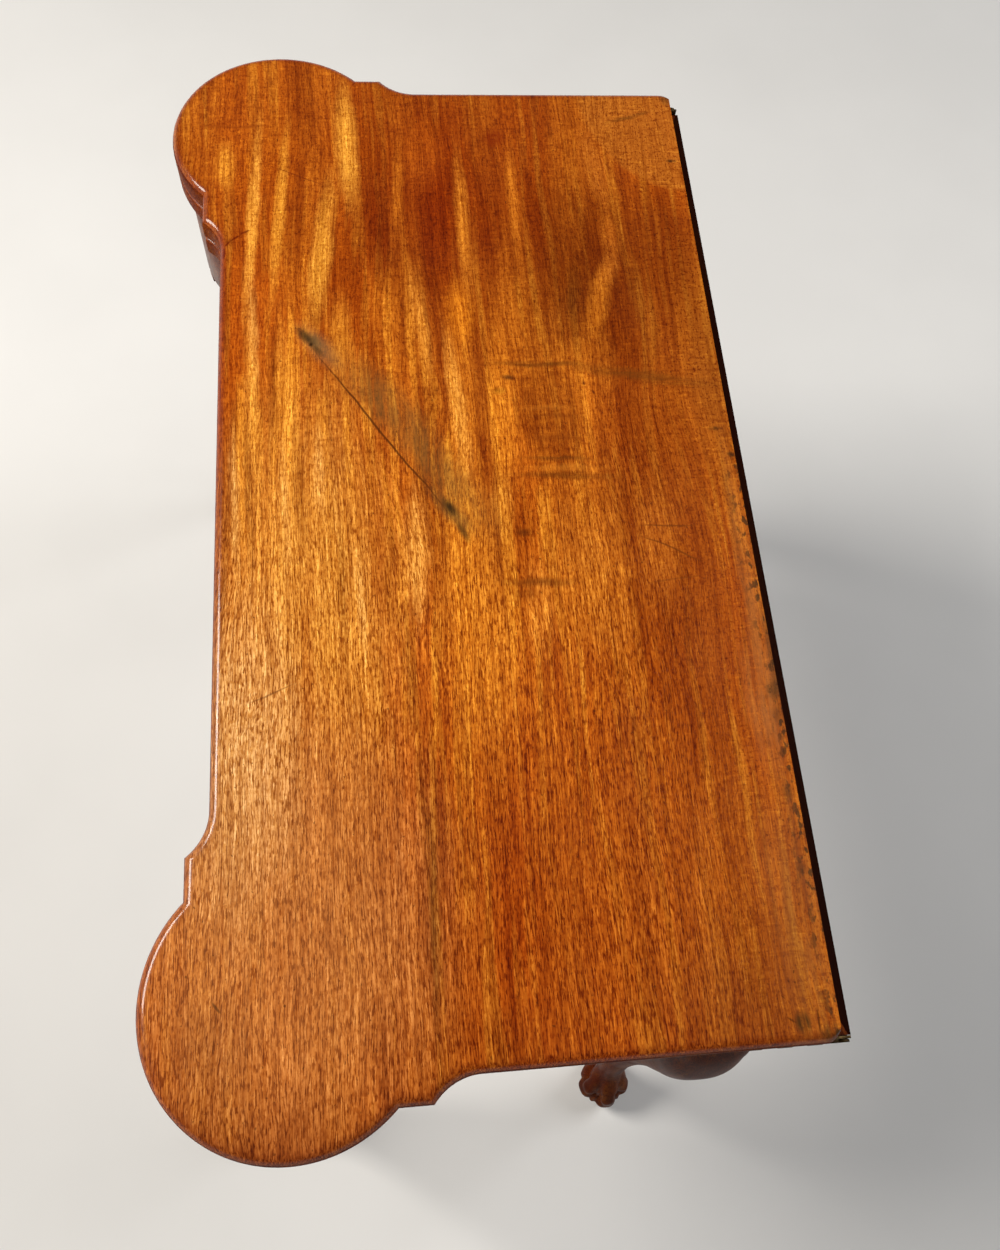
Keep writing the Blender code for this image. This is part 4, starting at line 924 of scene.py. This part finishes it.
def leaf_mesh(name, s, f, face, up, back_y, corner):
    """A leaf with rounded edges, a sunk playing field, candle dishes and wells on its inner face."""
    thickness = UPPER_HIGH.z - UPPER_LOW.z
    profile = [
        (s.inner_round * (1 - math.cos(t)), -s.inner_round * (1 - math.sin(t)))
        for t in quarter(INNER_STEPS)
    ]
    profile += [
        (thickness - s.outer_round * (1 - math.cos(t)), -s.outer_round * (1 - math.sin(t)))
        for t in reversed(quarter(OUTER_STEPS))
    ]
    profile += [
        (thickness, -s.outer_round - s.rim_width * k / RIM_STEPS) for k in range(1, RIM_STEPS + 1)
    ]
    bm = bmesh.new()
    # The rim layer marks the rounded edge for its darker polish and its painted shade.
    wear_and_shade = bm.verts.layers.float.new("rim")
    rings = [
        new_ring(bm, top_outline(s, grow, back_y, corner), face + up * rise) for rise, grow in profile
    ]
    for ring, (_, grow) in zip(rings, profile):
        for vert in ring:
            vert[wear_and_shade] = 1 - smooth_share(s.outer_round / 2, s.outer_round + s.rim_width, -grow)
    skin(bm, rings)
    bm.faces.new(rings[-1])
    turret_x, turret_y = HALF_LENGTH - s.turret_inset, front_line(s) + s.turret_inset
    dishes = []
    for side in SIDES.values():
        dishes.append(sunk(
            bm, lambda grow, c=(side * turret_x, turret_y): oval(
                c, 2 * (f.dish_radius + grow), 2 * (f.dish_radius + grow), 96),
            f.dish_depth, face, up, f.slope,
        ))
    field, islands = field_outlines(s, f, 0.0)
    field_top, field_floor = (new_ring(bm, field, face + up * deep) for deep in (0.0, f.recess))
    skin(bm, [field_top, field_floor])
    fill(bm, [rings[0], field_top] + dishes)
    floor_loops = [field_floor]
    for island, centre in zip(islands, well_centres(s, f)):
        foot, crown = (new_ring(bm, island, face + up * deep) for deep in (f.recess, 0.0))
        well = sunk(
            bm, lambda grow, c=centre: oval(c, f.well_length + 2 * grow, f.well_width + 2 * grow),
            f.well_depth, face, up, f.slope,
        )
        skin(bm, [foot, crown, well])
        floor_loops.append(foot)
    fill(bm, floor_loops)
    return mesh_from(name, bm)


EYE = UPPER_STRAP_HIGH.y - HINGE.y   # radius of a strap's eye
EYE_AIR = 0.0005
EYE_ROOM = math.sqrt(2) * EYE + EYE_AIR   # what the eyes sweep, and a little air
PLATE_OFF = 0.0015   # a strap's plate starts this far from the hinge's level
BEYOND = 0.01   # how far a cut reaches past the wood
PLAYING_LEVEL = 0.8   # faces nearer to level than this belong to the playing face
UPRIGHT_LEVEL = 0.5   # faces steeper than this belong to the edge


def strap_trim(up):
    """What is filed off a hinge strap behind the upper leaf, so that only its eye reaches out there."""
    level = HINGE.z + up * EYE
    side, back, rise = 1.0, 0.05, 0.03   # well past the strap
    return [((-side, UPPER_HIGH.y, level), (side, UPPER_HIGH.y + back, level + up * rise))]


def strap_seats(up):
    """The slots in a leaf's ends for its hinge straps, and in the lower leaf the eyes' room."""
    if up > 0:
        low, near, far = UPPER_STRAP_LOW, HINGE.z + PLATE_OFF, UPPER_STRAP_HIGH.z
    else:
        low, near, far = LOWER_STRAP_LOW, LOWER_STRAP_LOW.z, HINGE.z - PLATE_OFF
    floor, outside = low.x - GAP, HALF_LENGTH + BEYOND
    boxes = []
    for side in SIDES.values():
        boxes.append((
            (side * floor, low.y - GAP, near - GAP), (side * outside, UPPER_HIGH.y + GAP, far + GAP),
        ))
        if up < 0:
            boxes.append((
                (side * floor, UPPER_HIGH.y, HINGE.z - EYE - GAP), (side * outside, HINGE.y, far + GAP),
            ))
            boxes.append((
                (side * floor, HINGE.y - EYE - EYE_AIR, HINGE.z - EYE_ROOM),
                (side * outside, LOWER_HIGH.y + BEYOND, LOWER_HIGH.z + BEYOND),
            ))
    return boxes


def wax_faces(context, board, face, up, back_y):
    """Gives a leaf's playing face, and its edges and hinge strip, their own finishes."""
    s, deep = context.scene.games_leaf, context.scene.games_field.well_depth + GAP
    for name in ("inner", "edge"):
        board.data.materials.append(finish_of(context, name))
    for polygon in board.data.polygons:
        rise = up * (polygon.center.z - face)
        level = abs(polygon.normal.z)
        inside = rise < deep and polygon.center.y < back_y - GAP
        if inside and (level > PLAYING_LEVEL or rise > s.inner_round):
            polygon.material_index = 1
        # Upright faces and the hinge strip take the edge finish, whose darker colour is painted shade.
        elif level < UPRIGHT_LEVEL or polygon.center.y > back_y:
            polygon.material_index = 2


class GAMES_OT_leaves(bpy.types.Operator):
    """Makes the two mahogany leaves, with rounded edges, dishes and wells"""

    bl_idname = "games_table.leaves"
    bl_label = "Leaves"

    def execute(self, context):
        s, f = context.scene.games_leaf, context.scene.games_field
        upper = leaf_mesh("upper_leaf_board", s, f, UPPER_LOW.z, 1, UPPER_HIGH.y, s.hinge_corner)
        upper = carve(upper, strap_seats(1))
        board = put(context, "upper_leaf_board", upper, "top", "top_leaf", ["upper_leaf"])
        wax_faces(context, board, UPPER_LOW.z, 1, UPPER_HIGH.y)
        lower = leaf_mesh("lower_leaf_board", s, f, LOWER_HIGH.z, -1, LOWER_HIGH.y, s.lower_corner)
        lower = carve(lower, strap_seats(-1))
        board = put(context, "lower_leaf_board", lower, "lower", "frame", ["lower_leaf"])
        wax_faces(context, board, LOWER_HIGH.z, -1, UPPER_HIGH.y)
        return {"FINISHED"}


def area_of(points):
    """The area inside a flat outline."""
    pairs = zip(points, points[1:] + points[:1])
    return abs(sum(a[0] * b[1] - b[0] * a[1] for a, b in pairs)) / 2


class GAMES_OT_baize(bpy.types.Operator):
    """Lays the two sheets of baize, cut round the dishes and wells"""

    bl_idname = "games_table.baize"
    bl_label = "Baize"

    def execute(self, context):
        s, f = context.scene.games_leaf, context.scene.games_field
        field, islands = field_outlines(s, f, -GAP)
        cut_area = area_of(field) - sum(area_of(island) for island in islands)
        for label, body, face, up in (
            ("upper", "top_leaf", UPPER_LOW.z, 1), ("lower", "frame", LOWER_HIGH.z, -1),
        ):
            glued = face + up * (f.recess - GAP)
            bm = bmesh.new()
            sides = []
            for level in (glued, glued - up * f.baize_thickness):
                sides.append([new_ring(bm, points, level) for points in [field] + islands])
                fill(bm, sides[-1])
            for under, over in zip(*sides):
                skin(bm, [under, over])
            name = f"{label}_baize_sheet"
            sheet = put(context, name, mesh_from(name, bm), "baize", body, [f"{label}_baize"])
        return {"FINISHED"}


# Legs

LEG_PROFILE = (  # share of the way up from ankle to frieze, outer edge, inner edge, half width
    (0.000, 0.0420, 0.0150, 0.0150),
    (0.115, 0.0345, 0.0095, 0.0155),
    (0.300, 0.0310, 0.0030, 0.0178),
    (0.490, 0.0335, -0.0030, 0.0215),
    (0.655, 0.0400, -0.0105, 0.0265),
    (0.780, 0.0445, -0.0175, 0.0310),
    (0.865, 0.0430, -0.0215, 0.0325),
    (0.948, 0.0340, -0.0225, 0.0318),
    (1.000, 0.0235, -0.0215, 0.0300),
)
CLAW_ANGLES = (0.0, 75.0, 180.0, 285.0)
KNUCKLES = (0.45, 1.10, 1.80)   # heights of the claws' knuckles, in ball radii
KNUCKLE_REACH = 0.22   # how far up and down a knuckle swells, in ball radii
KNUCKLE_DIP = 0.34   # how far a claw sinks between its knuckles, as a share of its height
NECK = 0.68   # height above the ball's centre at which the leg meets it, in ball radii
CURL = 0.78   # how far the claws' tips curl in under the ball
TIP_WIDTH = 0.66   # width of a claw's tip, as a share of the claw's
TIP_GROWTH, KNUCKLE_GROWTH = 0.26, 0.14   # what is added up to the ball's middle, and at a knuckle
GROOVE = 0.62   # depth of the cut beside a claw, as a share of the claw's height
GROOVE_AT, GROOVE_REACH = 1.4, 0.3   # the cut's middle and half width, in claw widths
BLUNT = 4.0   # the higher, the flatter a claw's back
KNEE_SQUARE, TOP_SQUARE = 0.7, 1.3   # how much squarer than an oval the knee is, then the leg's top
LEG_SIDES, FOOT_RINGS, SHANK_RINGS = 120, 70, 64


def smooth_between(stations, at):
    """Values at a place, read from stations on a smooth curve through them."""
    i = max(k for k in range(len(stations) - 1) if stations[k][0] <= at)
    before, here = stations[max(i - 1, 0)], stations[i]
    after, beyond = stations[i + 1], stations[min(i + 2, len(stations) - 1)]
    span = after[0] - here[0]
    t = (at - here[0]) / span
    values = []
    for k in range(1, len(here)):
        slope_here = (after[k] - before[k]) / (after[0] - before[0]) * span
        slope_after = (beyond[k] - here[k]) / (beyond[0] - here[0]) * span
        values.append(
            here[k] * (1 + 2 * t) * (1 - t) ** 2 + slope_here * t * (1 - t) ** 2
            + after[k] * t * t * (3 - 2 * t) + slope_after * t * t * (t - 1)
        )
    return values


def ring_turns():
    """Angles of the points round a leg."""
    return [2 * math.pi * k / LEG_SIDES for k in range(LEG_SIDES)]


def shank_ring(share):
    """A rounded section of the leg above the ankle, as (out, across)."""
    outer, inner, half = smooth_between(LEG_PROFILE, share)
    middle, reach = (outer + inner) / 2, (outer - inner) / 2
    square = KNEE_SQUARE * smooth_share(0.3, 0.9, share)
    power = 2 / (2.0 + square + TOP_SQUARE * smooth_share(0.93, 1.0, share))
    ring = []
    for angle in ring_turns():
        c, s = math.cos(angle), math.sin(angle)
        ring.append((
            middle + reach * math.copysign(abs(c) ** power, c), half * math.copysign(abs(s) ** power, s),
        ))
    return ring


def foot_ring(g, height):
    """A section of the ball and the knuckled claws that grip it, as (out, across)."""
    outer, inner, half = LEG_PROFILE[0][1:]
    neck = g.ball_centre + NECK * g.ball_radius
    off = min(height, neck) - g.ball_centre
    ball = math.sqrt(g.ball_radius ** 2 - off ** 2)
    rise = smooth_share(neck, g.ankle_height, height)
    middle = g.foot_reach + ((outer + inner) / 2 - g.foot_reach) * rise
    reach = ball + ((outer - inner) / 2 - ball) * rise
    width = ball + (half - ball) * rise
    grip = g.ball_radius + g.claw_height
    if height < g.ball_centre:
        talon = grip * math.sqrt(1 - CURL * (1 - height / g.ball_centre) ** 2)
    else:
        talon = grip + (half - grip) * smooth_share(g.ball_centre, g.ankle_height, height)
    knuckle = max(math.exp(-((height / g.ball_radius - k) / KNUCKLE_REACH) ** 2) for k in KNUCKLES)
    talon -= KNUCKLE_DIP * g.claw_height * (1 - knuckle) * (1 - rise)
    growth = TIP_GROWTH * smooth_share(0.0, g.ball_centre, height)
    broad = g.claw_width * (TIP_WIDTH + growth + KNUCKLE_GROWTH * knuckle + rise)
    stands_off = max(talon - max(reach, width), 0.0)
    groove = GROOVE * g.claw_height * (1 - rise)
    ring = []
    for angle in ring_turns():
        turns = [(math.degrees(angle) - claw + 180) % 360 - 180 for claw in CLAW_ANGLES]
        claw = max(math.exp(-abs(turn / broad) ** BLUNT) for turn in turns)
        beside = max(math.exp(-((abs(turn) / broad - GROOVE_AT) / GROOVE_REACH) ** 2) for turn in turns)
        proud = stands_off * claw - groove * beside
        ring.append((middle + (reach + proud) * math.cos(angle), (width + proud) * math.sin(angle)))
    return ring


def post_ring(low, high):
    """A square of as many points as the leg's other rings, as (out, across)."""
    ring = []
    for angle in ring_turns():
        c, s = math.cos(angle), math.sin(angle)
        size = max(abs(c), abs(s))
        share = [(1 + value / size) / 2 for value in (c, s)]
        ring.append(tuple(a + (b - a) * t for a, b, t in zip(low, high, share)))
    return ring


def leg_mesh(name, g, where, angle, post_low, post_high, post_top):
    """A leg from the floor to its post's top, reaching out along the way it is turned."""
    foot_levels = [g.ankle_height * k / FOOT_RINGS for k in range(FOOT_RINGS)]
    shares = [k / SHANK_RINGS for k in range(SHANK_RINGS + 1)]
    rings = [(foot_ring(g, z), z) for z in foot_levels]
    shank = LEG_TOP - g.ankle_height
    rings += [(shank_ring(share), g.ankle_height + shank * share) for share in shares]
    rings += [(post_ring(post_low, post_high), z) for z in (LEG_TOP, post_top)]
    bm = bmesh.new()
    made = []
    for points, level in rings:
        moved = [turned(point, angle) for point in points]
        made.append(new_ring(bm, [(where[0] + x, where[1] + y) for x, y in moved], level))
    skin(bm, made)
    bm.faces.new(made[0])
    bm.faces.new(made[-1])
    return mesh_from(name, bm, 50.0)


class GAMES_OT_legs(bpy.types.Operator):
    """Makes the four cabriole legs with ball and claw feet"""

    bl_idname = "games_table.legs"
    bl_label = "Legs"

    def execute(self, context):
        s, g = context.scene.games_leaf, context.scene.games_leg
        half = g.post / 2
        square = ((-half, -half), (half, half))
        set_out = g.front_post_reach * math.sin(math.radians(45))
        turret_x, turret_y = HALF_LENGTH - s.turret_inset, front_line(s) + s.turret_inset
        rear_x, rear_y = HALF_LENGTH - s.frieze_inset - half, FLY_HIGH.y - half
        front_top = LEG_TOP + g.front_post_height
        legs = (
            ("right_front_leg", (turret_x + set_out, turret_y - set_out), -45, square, front_top, "frame"),
            ("left_front_leg", (-turret_x - set_out, turret_y - set_out), 225, square, front_top, "frame"),
            ("right_rear_leg", (rear_x, rear_y), 0, square, REAR_LEG_HIGH.z, "frame"),
            ("swing_leg", (-rear_x, rear_y), 180,
             ((-half, -half), (half, FLY_HIGH.y - FLY_LOW.y - half)), SWING_LEG_HIGH.z, "gate"),
        )
        for node, where, angle, post, top, body in legs:
            mesh = leg_mesh(f"{node}_carved", g, where, math.radians(angle), *post, top)
            put(context, f"{node}_carved", mesh, "leg", body, [node])
        return {"FINISHED"}


def put_eased(context, groups, ease):
    """Eased copies of CAD nodes: (nodes, finish, suffix) for each group."""
    for nodes, finish, suffix in groups:
        for node in nodes:
            body = frame["nodes"][node]["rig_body"]
            name = f"{node}_{suffix}"
            put(context, name, eased(node, name, ease), finish, body, [node])


class GAMES_OT_frieze(bpy.types.Operator):
    """Finishes the turret blocks and the polished rails"""

    bl_idname = "games_table.frieze"
    bl_label = "Frieze"

    def execute(self, context):
        put_eased(context, (
            (["left_turret_block", "right_turret_block", "front_rail"], "mahogany_x", "polished"),
            (["left_end_rail", "right_end_rail"], "mahogany_y", "polished"),
        ), context.scene.games_fitting.wood_ease)
        return {"FINISHED"}


class GAMES_OT_brackets(bpy.types.Operator):
    """Finishes the knee brackets"""

    bl_idname = "games_table.brackets"
    bl_label = "Knee brackets"

    def execute(self, context):
        across = [f"{label}_{place}_knee_bracket" for label in SIDES for place in ("front", "end")]
        put_eased(context, (
            (across + ["right_rear_fly_bracket", "swing_fly_bracket"], "mahogany_x", "shaped"),
            (["right_rear_end_bracket", "swing_end_bracket"], "mahogany_y", "shaped"),
        ), context.scene.games_fitting.wood_ease)
        return {"FINISHED"}


class GAMES_OT_gate(bpy.types.Operator):
    """Finishes the fly rails with their wooden knuckles, and the pin they turn on"""

    bl_idname = "games_table.gate"
    bl_label = "Swing rail"

    def execute(self, context):
        fitting = context.scene.games_fitting
        rails = ["fixed_fly_rail", "swing_rail"]
        put_eased(context, ((rails, "mahogany_x", "jointed"),), fitting.wood_ease)
        put_eased(context, ((["swing_pivot_pin"], "iron", "forged"),), fitting.brass_ease)
        return {"FINISHED"}


class GAMES_OT_carcase(bpy.types.Operator):
    """Finishes the plain oak rails and the glue blocks inside the frame"""

    bl_idname = "games_table.carcase"
    bl_label = "Oak carcase"

    def execute(self, context):
        blocks = [f"{label}_{place}_glue_block" for label in SIDES for place in ("front", "back")]
        ends = [f"{label}_end_glue_block" for label in SIDES]
        put_eased(context, (
            (["back_rail"] + blocks, "oak_x", "planed"),
            (["cross_rail"] + ends, "oak_y", "planed"),
        ), context.scene.games_fitting.wood_ease)
        return {"FINISHED"}


SCREW_SUNK = 0.0004   # how far a head's rim goes into the brass
SCREW_SHARES = (0.12, 0.42, 0.72)   # places of a strap's screws along it
SCREW_OFF = 0.007   # from the hinge's level to the line of screws
SLOT_TURN, SLOT_STEP = 0.5, 0.9   # angle of the first screw's slot, and how much the next ones turn


def screw_head(bm, centre, outward, turn, h):
    """A slotted countersunk head on an end face: a floor in the slot and two domed halves beside it."""
    sides = 20

    def spot(across, up, rise):
        """A corner on the head, turned with its slot."""
        u, v = turned((across, up), turn)
        return bm.verts.new((centre.x + outward * rise, centre.y + u, centre.z + v))

    for sign in (1, -1):
        edge = h.slot_width / 2
        reach = math.sqrt(h.screw_radius ** 2 - edge ** 2)
        start = math.atan2(edge, reach)
        rim = []
        for k in range(sides + 1):
            t = start + (math.pi - 2 * start) * k / sides
            rim.append((h.screw_radius * math.cos(t), sign * h.screw_radius * math.sin(t)))
        levels = []
        dome = ((0.92, 0.6 * h.screw_rise), (0.7, h.screw_rise))
        for shrink, rise in ((1.0, -SCREW_SUNK), (1.0, 0.0), *dome):
            levels.append([
                spot(u * shrink, max(abs(v) * shrink, edge) * sign, rise) for u, v in rim
            ])
        skin(bm, levels)
        bm.faces.new(levels[0])
        bm.faces.new(levels[-1])


class GAMES_OT_hinges(bpy.types.Operator):
    """Finishes the brass hinge straps and pins, and drives their screws"""

    bl_idname = "games_table.hinges"
    bl_label = "Brass hinges"

    def execute(self, context):
        h = context.scene.games_fitting
        pins = [f"{label}_hinge_pin" for label in SIDES]
        put_eased(context, ((pins, "brass", "filed"),), h.brass_ease)
        for label, side in SIDES.items():
            for leaf, body in (("upper", "top_leaf"), ("lower", "frame")):
                node = f"{label}_hinge_{leaf}_strap"
                up = 1 if leaf == "upper" else -1
                strap = eased(node, f"{node}_filed", h.brass_ease, strap_trim(up))
                put(context, f"{node}_filed", strap, "brass", body, [node])
                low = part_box(node)[0]
                level = HINGE.z + up * SCREW_OFF
                bm = bmesh.new()
                for k, share in enumerate(SCREW_SHARES):
                    y = low.y + share * (HINGE.y - low.y)
                    centre = Vector((side * HALF_LENGTH, y, level))
                    screw_head(bm, centre, side, SLOT_TURN + SLOT_STEP * k + side, h)
                name = f"{label}_hinge_{leaf}_screws"
                put(context, name, mesh_from(name, bm, 30.0), "brass", body, [])
        return {"FINISHED"}


# Stage

CAMERA_AT = (0.3989, -0.0555, 1.4362)
CAMERA_TURN = (22.496, -4.430, 85.389)   # degrees about X, then Y, then Z
FILM_WIDTH = 36.0   # millimetres
FLOOR_HALF = 9.0
PALE_FROM, PALE_TO = 1300.0, 4200.0   # where the floor turns pale, in millimetres from the middle
WALL_TOP, CEILING_FROM = 0.06, 0.50   # heights of a view at which the walls end and the ceiling begins
WHITE = (1.0, 1.0, 1.0, 1.0)
# Each lamp's place, what it faces, and its width and height
WINDOW = ((-0.5, -2.1, 2.7), (0.0, 0.0, 0.7), (1.3, 1.0))
OVERHEAD = ((-0.4, 2.2, 2.7), (0.0, 0.0, 0.5), (1.6, 1.4))


def lamp(context, name, place, aim, size, power, tint):
    """A soft rectangular lamp that faces a place."""
    light = bpy.data.lights.new(name, "AREA")
    light.shape, light.size, light.size_y = "RECTANGLE", *size
    light.energy = power
    light.color = linear(tint)
    obj = bpy.data.objects.new(name, light)
    context.scene.collection.objects.link(obj)
    obj.location = place
    obj.rotation_euler = (Vector(aim) - Vector(place)).to_track_quat("-Z", "Y").to_euler()


# Painted board, rolled: pale and matt, with a faint unevenness.
def painted_board(stage):
    """The floor's finish. Far from the table it shows as pale as the walls of the room."""
    made, tree, shader, place = start_finish("board_painted_matt", Roughness=0.9, IOR=1.45)
    uneven = figure(tree, place, (300.0, 300.0, 300.0), (0.3, 0.7), 4.0)
    paint = tinted(tree, (*stage.floor, 1.0), linear("#d8d7d5"), uneven, 0.3)
    tree.links.new(paint, shader.inputs["Base Color"])
    reach = add(tree, "VectorMath", {0: place}, out="Value", operation="LENGTH")
    far = add(
        tree, "MapRange", {"Value": reach, "From Min": PALE_FROM, "From Max": PALE_TO},
        interpolation_type="SMOOTHSTEP",
    )
    seen = [add(tree, "LightPath", out=f"Is {ray} Ray") for ray in ("Camera", "Glossy", "Transmission")]
    shown = add(tree, "Math", {0: seen[0], 1: seen[1]}, operation="MAXIMUM")
    shown = add(tree, "Math", {0: shown, 1: seen[2]}, operation="MAXIMUM")
    shown = add(tree, "Math", {0: shown, 1: far}, operation="MULTIPLY")
    pale = add(tree, "Emission", {"Color": WHITE, "Strength": stage.walls})
    mixed = add(tree, "MixShader", {0: shown, 1: shader.outputs[0], 2: pale})
    tree.links.new(mixed, tree.nodes["Material Output"].inputs["Surface"])
    return made


def lay_floor(scene, stage):
    """A wide flat floor."""
    bm = bmesh.new()
    bmesh.ops.create_grid(bm, x_segments=2, y_segments=2, size=FLOOR_HALF)
    floor = bpy.data.objects.new("studio_floor", mesh_from("studio_floor", bm))
    scene.collection.objects.link(floor)
    floor.data.materials.append(painted_board(stage))


def light_room(scene, stage):
    """A room with pale walls and a dark ceiling, so that the polished top isn't veiled from above."""
    world = scene.world or bpy.data.worlds.new("studio")
    scene.world = world
    world.use_nodes = True
    tree = world.node_tree
    room = tree.nodes["Background"]
    room.inputs["Color"].default_value = WHITE
    up = add(tree, "SeparateXYZ", {0: add(tree, "TexCoord", out="Generated")}, out="Z")
    light = add(
        tree, "MapRange",
        {"Value": up, "From Min": WALL_TOP, "From Max": CEILING_FROM,
         "To Min": stage.walls, "To Max": stage.ceiling},
        interpolation_type="SMOOTHSTEP",
    )
    tree.links.new(light, room.inputs["Strength"])


def set_camera(scene, stage):
    """The camera, above the right end and looking down along the table."""
    camera = bpy.data.cameras.new("camera")
    camera.lens, camera.sensor_width, camera.sensor_fit = stage.lens, FILM_WIDTH, "AUTO"
    obj = bpy.data.objects.new("camera", camera)
    scene.collection.objects.link(obj)
    obj.location = CAMERA_AT
    obj.rotation_euler = [math.radians(angle) for angle in CAMERA_TURN]
    scene.camera = obj


class GAMES_OT_stage(bpy.types.Operator):
    """Sets the floor, the lamps and the camera"""

    bl_idname = "games_table.stage"
    bl_label = "Stage"

    def execute(self, context):
        scene, stage = context.scene, context.scene.games_stage
        lay_floor(scene, stage)
        lamp(context, "window_lamp", *WINDOW, stage.window, "#fffaf2")
        lamp(context, "overhead_lamp", *OVERHEAD, stage.overhead, "#ffffff")
        light_room(scene, stage)
        set_camera(scene, stage)
        scene.view_settings.view_transform = "Standard"
        return {"FINISHED"}


GROUPS = {
    "games_leaf": GAMES_PG_leaf, "games_field": GAMES_PG_field, "games_leg": GAMES_PG_leg,
    "games_fitting": GAMES_PG_fitting, "games_finish": GAMES_PG_finish, "games_stage": GAMES_PG_stage,
}
OPERATORS = (
    GAMES_OT_leaves, GAMES_OT_baize, GAMES_OT_legs, GAMES_OT_frieze, GAMES_OT_brackets, GAMES_OT_gate,
    GAMES_OT_carcase, GAMES_OT_hinges, GAMES_OT_stage,
)


class GAMES_PT_table(bpy.types.Panel):
    """Lists the table's sizes, its finishes and the steps that build it."""

    bl_idname = "GAMES_PT_table"
    bl_label = "Games Table"
    bl_space_type = "VIEW_3D"
    bl_region_type = "UI"
    bl_category = "Games Table"

    def draw(self, context):
        """Draws the operators' buttons and then the settings of each group."""
        for operator in OPERATORS:
            self.layout.operator(operator.bl_idname)
        for name, group in GROUPS.items():
            box = self.layout.box()
            box.label(text=group.__doc__)
            for key in group.__annotations__:
                box.prop(getattr(context.scene, name), key)


def register():
    """Registers the classes and gives the scene their settings."""
    for cls in (*GROUPS.values(), *OPERATORS, GAMES_PT_table):
        bpy.utils.register_class(cls)
    for name, group in GROUPS.items():
        setattr(bpy.types.Scene, name, PointerProperty(type=group))


def unregister():
    """Takes the settings and the classes away again."""
    for name in GROUPS:
        delattr(bpy.types.Scene, name)
    for cls in reversed((*GROUPS.values(), *OPERATORS, GAMES_PT_table)):
        bpy.utils.unregister_class(cls)


def main():
    """Builds the table and its stage."""
    register()
    for operator in OPERATORS:
        getattr(bpy.ops.games_table, operator.bl_idname.partition(".")[2])()


if __name__ == "__main__":
    main()
